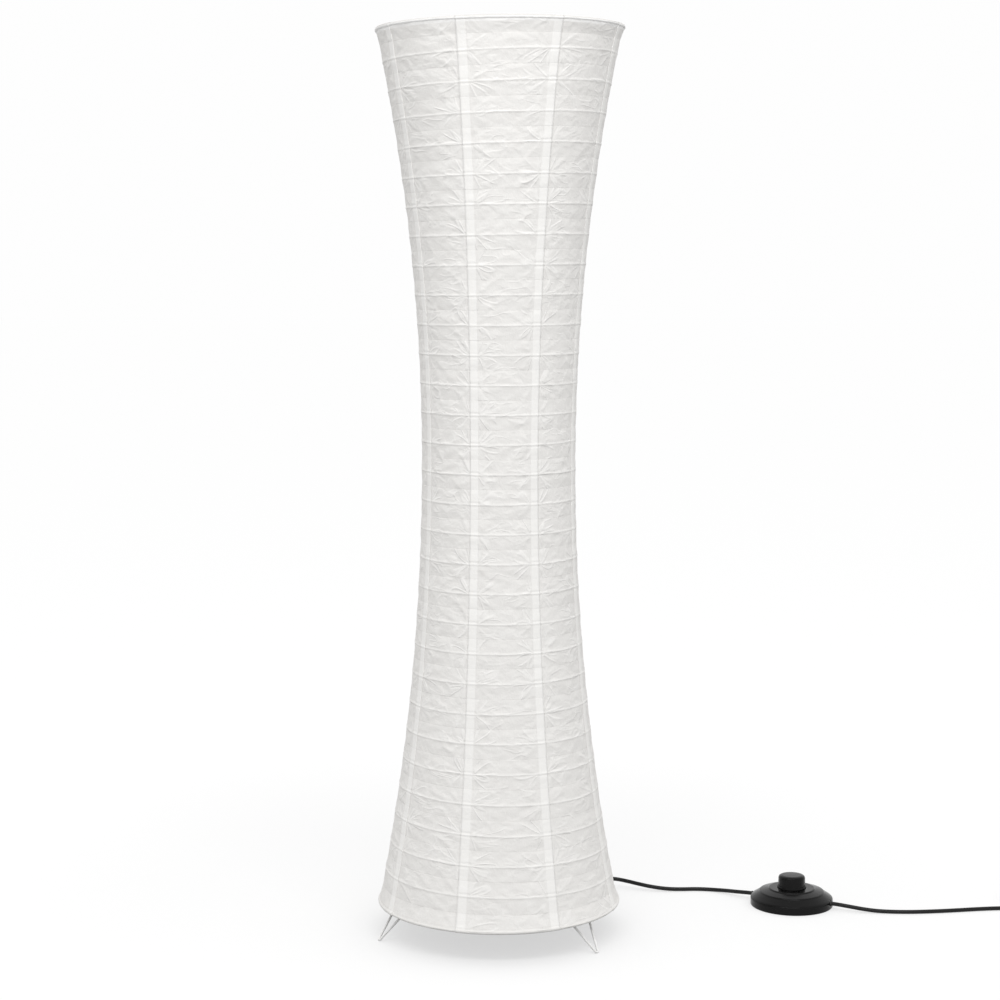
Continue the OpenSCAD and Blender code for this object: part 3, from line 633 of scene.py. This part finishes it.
# %% Hems of a gore
def hem_arc(rim_r, rim_z, hem_r, first):
    """The sheet's way round a rim wire, from the plan-section angle first on."""
    turn = first + np.linspace(0, 1, HEM_STEPS + 1) * HEM_TURN
    return rim_r + hem_r * np.cos(turn), rim_z + hem_r * np.sin(turn)


def hem_rows(r, z, angle, place_x, band, columns, at_z):
    """The hem's rows, each as wide as the sheet where it leaves the rim."""
    across = place_x / panel_half(at_z)
    return (
        np.repeat(r[:, None], columns, 1), np.repeat(z[:, None], columns, 1),
        np.repeat(angle, len(r), 0), np.repeat(band[:, None], columns, 1),
        np.repeat(across, len(r), 0),
    )


# %% Points of a gore
def gore_mesh(number):
    outer = number % 2  # odd gores lie over their neighbours
    hem_r = RIM_WIRE_R + 0.05 * MM + PAPER_T + outer * LAYER
    low_r, low_z = hem_arc(RIM_LOW_R, RIM_LOW_Z, hem_r, math.pi)
    top_r, top_z = hem_arc(RIM_HIGH_R, RIM_HIGH_Z, hem_r, math.pi - HEM_TURN)
    ends = np.interp([low_z[-1], top_z[0]], HOOP_Z, HOOP_NUMBERS)
    rows = row_places(*ends)
    z_rows = np.interp(rows, HOOP_NUMBERS, HOOP_Z)
    place_x = np.array([column_places(z) for z in z_rows])
    columns = place_x.shape[1]
    z, band = np.repeat(z_rows[:, None], columns, 1), np.repeat(rows[:, None], columns, 1)
    r = paper_r(z) + gore_relief(number, z, place_x, band) - (1 - outer) * LAYER
    # At the rims the sheet swings out to meet its hem.
    near_low = np.clip((0.46 - rows) / (0.46 - ends[0]), 0, 1)[:, None]
    near_top = np.clip((rows - BANDS + 0.46) / (ends[1] - BANDS + 0.46), 0, 1)[:, None]
    r = r + near_low * (low_r[-1] - r[0]) + near_top * (top_r[0] - r[-1])
    angle = FIRST_SEAM + (number - 0.5) * GORE_ANGLE + place_x / paper_r(z)
    hem_band = np.linspace(0, 1, HEM_STEPS + 1) * HEM_TURN * hem_r / BAND_H
    low_rows = (low_r[:-1], low_z[:-1], angle[:1], place_x[:1], ends[0] - hem_band[:0:-1])
    top_rows = (top_r[1:], top_z[1:], angle[-1:], place_x[-1:], ends[1] + hem_band[1:])
    r, z, angle, band, across = [
        np.vstack(parts) for parts in zip(
            hem_rows(*low_rows, columns, z_rows[0]),
            (r, z, angle, band, place_x / panel_half(z_rows)[:, None]),
            hem_rows(*top_rows, columns, z_rows[-1]),
        )
    ]
    points = np.stack(settled(r * np.cos(angle), r * np.sin(angle), z), 2)
    return points, np.stack([number + across / 4, band], 2)


# %% Mesh of a gore
def grid_object(name, points, sheet_uv, finish):
    """A mesh from a grid of points, with a UV map that holds each point's place in the sheet."""
    rows, columns = points.shape[:2]
    index = np.arange(rows * columns).reshape(rows, columns)
    corners = np.stack([index[:-1, :-1], index[:-1, 1:], index[1:, 1:], index[1:, :-1]], 2)
    mesh = bpy.data.meshes.new(name)
    mesh.from_pydata(points.reshape(-1, 3), [], corners.reshape(-1, 4).tolist())
    mesh.polygons.foreach_set("use_smooth", [True] * len(mesh.polygons))
    layer = mesh.uv_layers.new(name="sheet")
    corner_points = np.zeros(len(mesh.loops), int)
    mesh.loops.foreach_get("vertex_index", corner_points)
    layer.data.foreach_set("uv", sheet_uv.reshape(-1, 2)[corner_points].astype(np.float32).ravel())
    mesh.materials.append(finish)
    made = bpy.data.objects.new(name, mesh)
    bpy.context.collection.objects.link(made)
    return made


# %% [markdown]
# ## The finish of the paper
#
# The paper is white with a little warmth, matt, and cloudy with long fibres. Where two gores
# overlap it is a little whiter, because less of the dark inside shows through, and a painted
# shadow line marks the edge of the upper sheet. Light and shade are painted along the sheet too:
# a highlight on each hoop, a shadow just under it, shade in patches of the folds, shade on both
# rim hems, light just under the top rim and a shadow line at the lower hem's edge. An image
# texture could hold all this, but then it would blur close up. The finish reads each point's
# place in the sheet from the UV map instead, so its lines stay sharp at any distance. Hair-thin
# creases are drawn here too, with a painted highlight on their crests: some fan out of the
# panel's corners, some wander. The smallest crumples are bumps: cells with sharp edges, bent by
# noise, which is how flat facets meet in crumpled paper.


# %% Lines of the sheet
# Several of these are painted light: the crest and hoop highlight white, the edge, fold and hoop
# shadow greys, both hem shade greys and the light under the top rim.
PAINTED_HIGHLIGHT_WHITE = (0.94, 0.93, 0.91)
EDGE_SHADOW_GREY = (0.52, 0.50, 0.47)
FIBRE_WHITE = (0.90, 0.89, 0.87)
FOLD_SHADE_GREY = (0.66, 0.64, 0.61)
STRIP_WHITE = (0.955, 0.945, 0.925)
HOOP_SHADOW_GREY = (0.46, 0.44, 0.41)
FOOT_HEM_SHADE_GREY = (0.74, 0.73, 0.71)
TOP_HEM_SHADE_GREY = (0.60, 0.59, 0.57)
UNDER_TOP_PAINTED_LIGHT = (0.97, 0.965, 0.955)
PAPER_DARK, PAPER_PALE = (0.815, 0.800, 0.778), (0.862, 0.850, 0.830)


def sheet_lines(tree, across, gore, bands, in_band, on_shade):
    """Painted highlight on the hoops, painted shadow under them and along the upper sheet's edge, and
    painted shade and light at the hems: a mask from 0 to 1, its share and its colour.
    """
    under_hoop = less(tree, 1.0, in_band)
    off_hoop = math_node(tree, "MINIMUM", in_band, under_hoop)
    lower_sheet = less(tree, 1.0, math_node(tree, "MODULO", gore, 2.0))
    # Painted shadow line on the lower sheet beside the upper sheet's edge.
    sheet_edge_shadow = times(tree, lower_sheet, stripe(tree, across, 0.955, 0.985, 1.0, 1.02))
    # Painted highlight along each hoop.
    hoop_highlight = times(tree, on_shade, step_between(tree, off_hoop, 0.012, 0.028, 1, 0))
    # Painted shadow in a thin line just under each hoop.
    painted_shadow_under_hoop = times(tree, on_shade, stripe(tree, under_hoop, 0.020, 0.032, 0.040, 0.062))
    top = (BANDS + 0.010, BANDS + 0.050)
    return sheet_edge_shadow, hoop_highlight, painted_shadow_under_hoop, [
        # Painted shade on the paper wrapped round the lower rim wire.
        (step_between(tree, bands, 0.050, 0.066, 1, 0), 0.70, FOOT_HEM_SHADE_GREY),
        # Painted shade on the paper wrapped round the top rim wire, toning down its lit top.
        (step_between(tree, bands, *top), 0.80, TOP_HEM_SHADE_GREY),
        # Painted light on the band just under the top rim, where the crease would be in shadow.
        (stripe(tree, bands, BANDS - 0.16, BANDS - 0.12, *top), 0.80, UNDER_TOP_PAINTED_LIGHT),
        # Painted shadow line at the edge of the lower hem's flap.
        (stripe(tree, bands, 0.092, 0.100, 0.108, 0.118), 0.13, EDGE_SHADOW_GREY),
    ]


# %% Paper
def rice_paper():
    finish, tree, skin = new_finish("rice_paper", 0.86, Specular_IOR_Level=0.22)
    sheet = add(tree, "SeparateXYZ", {"Vector": add(tree, "UVMap", uv_map="sheet").outputs["UV"]})
    gore = math_node(tree, "ROUND", sheet.outputs["X"])
    signed = times(tree, less(tree, sheet.outputs["X"], gore), 4.0)
    across = math_node(tree, "ABSOLUTE", signed)
    bands = sheet.outputs["Y"]
    in_band = math_node(tree, "FRACT", bands)
    on_shade = stripe(tree, bands, 0.45, 0.5, BANDS - 0.5, BANDS - 0.45)
    sheet_edge_shadow, hoop_highlight, painted_shadow_under_hoop, hems = sheet_lines(
        tree, across, gore, bands, in_band, on_shade)
    strip = step_between(tree, across, 0.985, 1.03)
    from_fold = distance_from(tree, in_band, 0.5)
    # Painted shade line in the valley of each band's fold, shown only in cloudy patches.
    fold = step_between(tree, from_fold, 0.004, 0.018, 1, 0)
    where = place(tree)
    cloud = noise(tree, where, 34, 4, 0.4)
    fold_shade_patches = step_between(tree, cloud, 0.42, 0.58)
    strands = noise(tree, place(tree, (1, 1, 0.55)), 75, 3, 1.6)
    fibre = step_between(tree, distance_from(tree, strands, 0.5), 0.003, 0.016, 1, 0)
    # The crests of the thin creases get a painted highlight, and a bump.
    crests = thin_creases(tree, signed, in_band, gore, bands)
    tone = tint(tree, cloud, PAPER_DARK, PAPER_PALE)
    # Colours over the paper's tone: fibres and the whiter overlap are the paper's own; the fold, sheet
    # edge and under-hoop lines are painted shadow, the crests and hoops painted highlight.
    for mask, share, colour in [
        (fibre, 0.45, FIBRE_WHITE),
        (times(tree, fold, fold_shade_patches), 0.30, FOLD_SHADE_GREY),
        (strip, 0.74, STRIP_WHITE),
        (sheet_edge_shadow, 0.10, EDGE_SHADOW_GREY),
        (crests, 0.42, PAINTED_HIGHLIGHT_WHITE),
        (hoop_highlight, 0.50, PAINTED_HIGHLIGHT_WHITE),
        (painted_shadow_under_hoop, 0.10, HOOP_SHADOW_GREY),
    ] + hems:
        tone = tint(tree, times(tree, mask, share), tone, colour)
    tree.links.new(tone, skin.inputs["Base Color"])
    valley = step_between(tree, from_fold, 0.0, 0.030, 0.2, 0.0)
    ridges = less(tree, crests, times(tree, valley, on_shade))
    tree.links.new(crumples(tree, where, strip, fibre, ridges), skin.inputs["Normal"])
    return finish


# %% Thin creases
def thin_creases(tree, signed, in_band, gore, bands):
    """1 on the crest of a thin crease, 0 beside it: some fan out of the corners, some wander."""
    across = math_node(tree, "ABSOLUTE", signed)
    off_hoop = math_node(tree, "MINIMUM", in_band, less(tree, 1.0, in_band))
    quarter = add(tree, "CombineXYZ", {
        "X": math_node(tree, "ADD", gore, times(tree, math_node(tree, "SIGN", signed), 20.0)),
        "Y": math_node(tree, "FLOOR", bands),
        "Z": math_node(tree, "GREATER_THAN", in_band, 0.5),
    })
    seed = add(tree, "TexWhiteNoise", {"Vector": quarter.outputs["Vector"]})
    fan = corner_rays(tree, across, off_hoop, seed.outputs["Color"], seed.outputs["Value"])
    return math_node(tree, "MAXIMUM", fan, wandering_lines(tree, signed, across, gore, bands))


def corner_rays(tree, across, off_hoop, far_seed, seed):
    """Rays round the corner of each quarter panel: lines of equal noise in polar places."""
    from_side = times(tree, less(tree, 1.0, across), 1.1)
    from_side = math_node(tree, "MAXIMUM", from_side, 0.0)
    turn = math_node(tree, "ARCTAN2", off_hoop, from_side)
    corner = add(tree, "CombineXYZ", {"X": from_side, "Y": off_hoop})
    away = add(tree, "VectorMath", {0: corner.outputs["Vector"]}, operation="LENGTH").outputs["Value"]
    polar = add(tree, "CombineXYZ", {"X": times(tree, turn, 1.9), "Y": times(tree, away, 0.9)})
    far_off = add(tree, "VectorMath", {0: far_seed, 1: (60, 60, 60)}, operation="MULTIPLY")
    spot = add(tree, "VectorMath", {0: polar.outputs["Vector"], 1: far_off.outputs["Vector"]},
               operation="ADD")
    rays = noise(tree, spot.outputs["Vector"], 1.0, 0.0)
    off_ray = times(tree, away, distance_from(tree, rays, 0.5))
    shown = step_between(tree, seed, 0.15, 0.60)
    reach = math_node(tree, "ADD", 0.55, times(tree, seed, 0.45))
    ray = times(tree, shown, step_between(tree, off_ray, 0.0, 0.050, 1, 0))
    return times(tree, ray, stripe(tree, away, 0.05, 0.14, times(tree, reach, 0.75), reach))


def wandering_lines(tree, signed, across, gore, bands):
    """Creases that cross the panel in some patches and leave others alone."""
    flat = add(tree, "CombineXYZ", {
        "X": times(tree, signed, 1.2), "Y": times(tree, bands, 2.7), "Z": times(tree, gore, 7.3)})
    waves = noise(tree, flat.outputs["Vector"], 1.0, 1.0, 0.5)
    patches = noise(tree, flat.outputs["Vector"], 0.55, 0.0)
    line = step_between(tree, distance_from(tree, waves, 0.5), 0.0, 0.075, 0.65, 0)
    return times(tree, line, times(
        tree, step_between(tree, patches, 0.50, 0.58), step_between(tree, across, 0.70, 0.95, 1, 0)))


# %% Small crumples
WIDE_CELLS, SMALL_CELLS = 70, 170  # cells per metre
CELL_DEPTH, RIDGE_DEPTH, GRAIN_DEPTH = 0.8 * MM, 0.36 * MM, 0.35 * MM


def edge_cells(tree, where, cells_per_m):
    """Distance to the nearest edge of a net of cells: flat facets that meet in sharp lines."""
    made = add(tree, "TexVoronoi", {"Vector": where, "Scale": cells_per_m},
               feature="DISTANCE_TO_EDGE")
    return made.outputs["Distance"]


def crumples(tree, where, strip, fibre, ridges):
    """The normal of the thin creases and the small crumples, which fade out on the seams."""
    waves = add(tree, "TexNoise", {"Vector": where, "Scale": 55, "Detail": 2})
    bent = add(tree, "VectorMath", {0: waves.outputs["Color"], 1: (0.5, 0.5, 0.5)},
               operation="SUBTRACT")
    moved = add(tree, "VectorMath", {0: bent.outputs["Vector"], 1: (0.022, 0.022, 0.014)},
                operation="MULTIPLY")
    shifted = add(tree, "VectorMath", {0: where, 1: moved.outputs["Vector"]}, operation="ADD")
    flat_cells = add(tree, "Mapping", {"Vector": shifted.outputs["Vector"], "Scale": (0.62, 0.62, 1)})
    wide = edge_cells(tree, flat_cells.outputs["Vector"], WIDE_CELLS)
    small = edge_cells(tree, flat_cells.outputs["Vector"], SMALL_CELLS)
    where_small = step_between(tree, noise(tree, where, 28, 2), 0.42, 0.62)
    height = math_node(tree, "ADD", wide, times(tree, small, times(tree, where_small, 0.40)))
    height = times(tree, height, step_between(tree, strip, 0, 1, -1.0, -0.2))
    folds = add(tree, "Bump", {"Height": height, "Distance": CELL_DEPTH, "Strength": 1.0})
    folds = add(tree, "Bump", {"Height": ridges, "Distance": RIDGE_DEPTH, "Strength": 1.0,
                               "Normal": folds.outputs["Normal"]})
    pulp = math_node(tree, "ADD", times(tree, noise(tree, where, 150, 4, 0.8), 1.2),
                     times(tree, noise(tree, where, 800, 3), 0.22))
    pulp = math_node(tree, "ADD", pulp, times(tree, fibre, 0.10))
    grain = add(tree, "Bump", {"Height": pulp, "Distance": GRAIN_DEPTH, "Strength": 0.8,
                               "Normal": folds.outputs["Normal"]})
    return grain.outputs["Normal"]


# %% Hang the eight gores
paper = rice_paper()
for number in range(1, GORES + 1):
    points, sheet_uv = gore_mesh(number)
    gore = grid_object(f"gore_{number}", points, sheet_uv, paper)
    walls = gore.modifiers.new("paper_thickness", "SOLIDIFY")
    walls.thickness = PAPER_T
    walls.offset = -1
    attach(gore, "shade")
    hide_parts(f"paper_gore_{number}")
print("gore grid", points.shape[0], "by", points.shape[1])

# %% [markdown]
# ## Hoops and the top rim
#
# Each hoop is a thin split of bamboo, bent round and glued. It lies inside the paper and
# follows its lean. A torus would be too round for a split strip, so the strip's small
# rectangular section is carried round in steps, and its lean comes from the same function as
# the paper's.


# %% Ring builder
def ring_object(name, section, heights, finish, turns=144):
    """Rings with a closed section of (r, z) offsets, one at each (radius, height)."""
    points, faces = [], []
    count = len(section)
    for ring_r, ring_z in heights:
        first = len(points)
        for step in range(turns):
            angle = 2 * math.pi * step / turns
            for off_r, off_z in section:
                r = ring_r + off_r
                x, y, z = settled(r * math.cos(angle), r * math.sin(angle), ring_z)
                points.append((float(x), float(y), float(z) + off_z))
        for step in range(turns):
            here, there = first + step * count, first + (step + 1) % turns * count
            for k in range(count):
                faces.append((here + k, there + k, there + (k + 1) % count, here + (k + 1) % count))
    mesh = bpy.data.meshes.new(name)
    mesh.from_pydata(points, [], faces)
    mesh.materials.append(finish)
    made = bpy.data.objects.new(name, mesh)
    bpy.context.collection.objects.link(made)
    return made


# %% Finishes of the rings
def split_bamboo():
    """Pale bamboo with long dark grain."""
    finish, tree, skin = new_finish("split_bamboo", 0.6)
    grain = noise(tree, place(tree, (1, 1, 14)), 60, 4, 0.3)
    tree.links.new(tint(tree, grain, (0.52, 0.43, 0.27), (0.74, 0.66, 0.48)),
                   skin.inputs["Base Color"])
    relief(tree, skin, grain, 0.15 * MM)
    return finish


def white_powder_coat():
    """Powder-coated wire: off-white, satin, with the fine ripple of baked powder."""
    finish, tree, skin = new_finish("white_powder_coat", 0.38, Specular_IOR_Level=0.5)
    where = place(tree)
    ripple = noise(tree, where, 520, 2)
    patch = noise(tree, where, 40, 2)
    tree.links.new(tint(tree, patch, (0.84, 0.835, 0.82), (0.90, 0.895, 0.885)),
                   skin.inputs["Base Color"])
    tree.links.new(step_between(tree, ripple, 0.3, 0.7, 0.33, 0.46), skin.inputs["Roughness"])
    relief(tree, skin, ripple, 0.12 * MM, 0.6)
    return finish


bamboo = split_bamboo()
powder_coat = white_powder_coat()

# %% Bend the hoops and the top rim
HOOP_T, HOOP_H = 1.6 * MM, 2.2 * MM
hoop_heights = []
for hoop_z in HOOP_Z[1:-1]:
    hoop_heights.append((float(paper_r(hoop_z)) - 2 * LAYER - HOOP_T - 0.1 * MM, float(hoop_z)))
strip_section = [(0, -HOOP_H / 2), (HOOP_T, -HOOP_H / 2), (HOOP_T, HOOP_H / 2), (0, HOOP_H / 2)]
hoops = ring_object("bamboo_hoops", strip_section, hoop_heights, bamboo)
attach(hoops, "shade")
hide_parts("shade_hoops")

wire_section = [
    (RIM_WIRE_R * math.cos(a), RIM_WIRE_R * math.sin(a)) for a in np.radians(np.arange(0, 360, 30))
]
top_wire = ring_object("top_rim_wire", wire_section, [(RIM_HIGH_R, RIM_HIGH_Z)], powder_coat)
top_wire.data.polygons.foreach_set("use_smooth", [True] * len(top_wire.data.polygons))
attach(top_wire, "shade")
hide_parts("top_rim")
print("hoops:", len(hoop_heights))

# %% [markdown]
# ## Finishes of the measured pieces
#
# The stand, the lampholder, the bulb, the foot switch and the plug keep the shapes they have in
# the frame. Each gets the finish of its own material, and its curved faces are shaded smoothly
# up to a clear edge.


# %% Plain finishes
def nickel_plate():
    finish, tree, skin = new_finish("nickel_plate", 0.28, Metallic=1.0)
    brushed = noise(tree, place(tree, (1, 1, 0.15)), 500, 3)
    tree.links.new(tint(tree, brushed, (0.58, 0.56, 0.53), (0.74, 0.72, 0.69)),
                   skin.inputs["Base Color"])
    tree.links.new(step_between(tree, brushed, 0.3, 0.7, 0.22, 0.36), skin.inputs["Roughness"])
    return finish


def brass_contact():
    finish, tree, skin = new_finish("brass_contact", 0.3, Metallic=1.0)
    tarnish = noise(tree, place(tree), 220, 4)
    tree.links.new(tint(tree, tarnish, (0.60, 0.41, 0.16), (0.80, 0.60, 0.28)),
                   skin.inputs["Base Color"])
    tree.links.new(step_between(tree, tarnish, 0.3, 0.7, 0.38, 0.24), skin.inputs["Roughness"])
    return finish


def white_moulding():
    finish, tree, skin = new_finish("white_moulding", 0.32)
    cloud = noise(tree, place(tree), 90, 3)
    tree.links.new(tint(tree, cloud, (0.78, 0.775, 0.755), (0.82, 0.815, 0.80)),
                   skin.inputs["Base Color"])
    relief(tree, skin, noise(tree, place(tree), 1500, 1), 0.04 * MM)
    return finish


def pressed_ceramic():
    finish, tree, skin = new_finish("pressed_ceramic", 0.62)
    grit = noise(tree, place(tree), 700, 4)
    tree.links.new(tint(tree, grit, (0.66, 0.63, 0.55), (0.76, 0.73, 0.66)),
                   skin.inputs["Base Color"])
    relief(tree, skin, grit, 0.1 * MM)
    return finish


def opal_dome():
    finish, tree, skin = new_finish("opal_dome", 0.36, Specular_IOR_Level=0.5)
    cloud = noise(tree, place(tree), 30, 2)
    tree.links.new(tint(tree, cloud, (0.84, 0.84, 0.82), (0.88, 0.88, 0.865)),
                   skin.inputs["Base Color"])
    return finish


def papered_wire():
    finish, tree, skin = new_finish("papered_wire", 0.8)
    pulp = noise(tree, place(tree), 500, 4)
    tree.links.new(tint(tree, pulp, (0.76, 0.745, 0.72), (0.84, 0.83, 0.81)),
                   skin.inputs["Base Color"])
    relief(tree, skin, pulp, 0.15 * MM)
    return finish


# %% [markdown]
# ## Black mouldings
#
# The foot switch and the plug are moulded in glossy black plastic with a very fine texture.
# Its edges are rounded, and catch the light. They could be rounded in the mesh, but the measured
# pieces keep their shape, so the finish bends the light there instead. Handling polishes the
# plastic unevenly, so the roughness drifts in large soft patches, and dust shows lighter.


# %% Black finishes
EDGE_R = 2.4 * MM  # how far the moulding's edges are rounded


def black_moulding():
    finish, tree, skin = new_finish("black_moulding", 0.18, Specular_IOR_Level=0.14)
    where = place(tree)
    patch = noise(tree, where, 45, 3)
    speck = step_between(tree, noise(tree, where, 1600, 2), 0.70, 0.78)
    body = tint(tree, patch, (0.003, 0.003, 0.003), (0.006, 0.006, 0.006))
    dusty = tint(tree, times(tree, speck, 0.30), body, (0.06, 0.06, 0.058))
    tree.links.new(dusty, skin.inputs["Base Color"])
    tree.links.new(step_between(tree, patch, 0.3, 0.7, 0.15, 0.21), skin.inputs["Roughness"])
    soft_edge = add(tree, "Bevel", {"Radius": EDGE_R}, samples=8)
    satin = add(tree, "Bump", {"Height": noise(tree, where, 1400, 1), "Distance": 0.05 * MM,
                               "Strength": 0.7, "Normal": soft_edge.outputs["Normal"]})
    tree.links.new(satin.outputs["Normal"], skin.inputs["Normal"])
    return finish


def black_rubber():
    finish, tree, skin = new_finish("black_rubber", 0.55)
    bloom = noise(tree, place(tree), 120, 3)
    tree.links.new(tint(tree, bloom, (0.012, 0.012, 0.012), (0.026, 0.026, 0.026)),
                   skin.inputs["Base Color"])
    relief(tree, skin, bloom, 0.1 * MM, 0.5)
    return finish


# %% Give each measured piece its finish
SMOOTH_UP_TO = math.radians(32)
FINISH_OF_SLOT = {
    "white_wire": powder_coat, "nickel": nickel_plate(), "white_plastic": white_moulding(),
    "insulator": pressed_ceramic(), "brass": brass_contact(), "opal": opal_dome(),
    "paper": paper, "bamboo": bamboo, "papered_wire": papered_wire(),
    "black_plastic": black_moulding(), "black_rubber": black_rubber(), "lead_sheath": sheath,
    "spring_steel": steel,
}
slot_of = {part["node"]: part["material_slot"] for part in frame["record"]["subparts"]}
for name, node in frame["nodes"].items():
    finish = FINISH_OF_SLOT[slot_of[name]]
    if not node.material_slots:
        node.data.materials.append(finish)
    for place_for_finish in node.material_slots:
        place_for_finish.material = finish
    node.data.polygons.foreach_set("use_smooth", [True] * len(node.data.polygons))
    node.data.set_sharp_from_angle(angle=SMOOTH_UP_TO)
print("finishes:", len(FINISH_OF_SLOT))

# %% [markdown]
# ## Floor and light
#
# The lamp is photographed on a white sweep under soft light from everywhere, with a little
# more from above and in front. The floor stays white to the camera and still takes the lamp's
# soft shadow: a part of its brightness is its own, seen only by the camera, and the rest is
# ordinary matt paint that the lights fall on. One wide softbox hangs above, in front of the
# lamp. It lights the near floor more than the far one, as a real one does, so the far floor
# glows a little more, and the floor runs into the backdrop without a line.


# %% White sweep
def only_seen(tree):
    """1 for rays that end in the picture: straight from the camera, mirrored or let through."""
    rays = add(tree, "LightPath")
    return math_node(
        tree, "MAXIMUM", rays.outputs["Is Camera Ray"],
        math_node(tree, "MAXIMUM", rays.outputs["Is Glossy Ray"], rays.outputs["Is Transmission Ray"]),
    )


FLOOR_PAINT = 0.36
NEAR_GLOW, FAR_GLOW = 0.588, 0.641
NEAR, FAR = 0.4, 1.3  # metres from the lamp


def white_sweep():
    finish, tree, skin = new_finish("white_sweep", 0.9, Specular_IOR_Level=0.0)
    skin.inputs["Base Color"].default_value = (FLOOR_PAINT, FLOOR_PAINT, FLOOR_PAINT, 1)
    skin.inputs["Emission Color"].default_value = (1, 1, 1, 1)
    away = add(tree, "VectorMath", {0: place(tree)}, operation="LENGTH").outputs["Value"]
    glow = step_between(tree, away, NEAR, FAR, NEAR_GLOW, FAR_GLOW)
    tree.links.new(times(tree, only_seen(tree), glow), skin.inputs["Emission Strength"])
    return finish


FLOOR_HALF = 30
floor_mesh = bpy.data.meshes.new("floor")
floor_mesh.from_pydata(
    [(-FLOOR_HALF, -FLOOR_HALF, 0), (FLOOR_HALF, -FLOOR_HALF, 0),
     (FLOOR_HALF, FLOOR_HALF, 0), (-FLOOR_HALF, FLOOR_HALF, 0)], [], [(0, 1, 2, 3)],
)
floor_mesh.materials.append(white_sweep())
floor = bpy.data.objects.new("floor", floor_mesh)
bpy.context.collection.objects.link(floor)


# %% Sky and lamps
def white_room(strength, backdrop):
    """A soft even light on the lamp, seen as a nearly white backdrop."""
    world = bpy.data.worlds.new("white_room")
    bpy.context.scene.world = world
    world.use_nodes = True
    tree = world.node_tree
    sky = tree.nodes["Background"]
    sky.inputs["Color"].default_value = (1, 1, 1, 1)
    seen = only_seen(tree)
    tree.links.new(step_between(tree, seen, 0, 1, strength, backdrop), sky.inputs["Strength"])


def lamp(name, kind, at, aim, **settings):
    """A lamp that faces the point aim."""
    made = bpy.data.objects.new(name, bpy.data.lights.new(name, kind))
    for setting, value in settings.items():
        setattr(made.data, setting, value)
    made.location = at
    way = np.array(aim) - np.array(at)
    made.rotation_euler = (
        math.acos(-way[2] / np.linalg.norm(way)), 0, math.atan2(way[1], way[0]) - math.pi / 2,
    )
    bpy.context.collection.objects.link(made)


ROOM_LIGHT, BACKDROP_WHITE = 0.97, 0.99

white_room(ROOM_LIGHT, BACKDROP_WHITE)
lamp("top_softbox", "AREA", (0.06, -1.35, 1.95), (0, 0, 0.9), shape="RECTANGLE",
     size=2.0, size_y=0.4, energy=16.5)
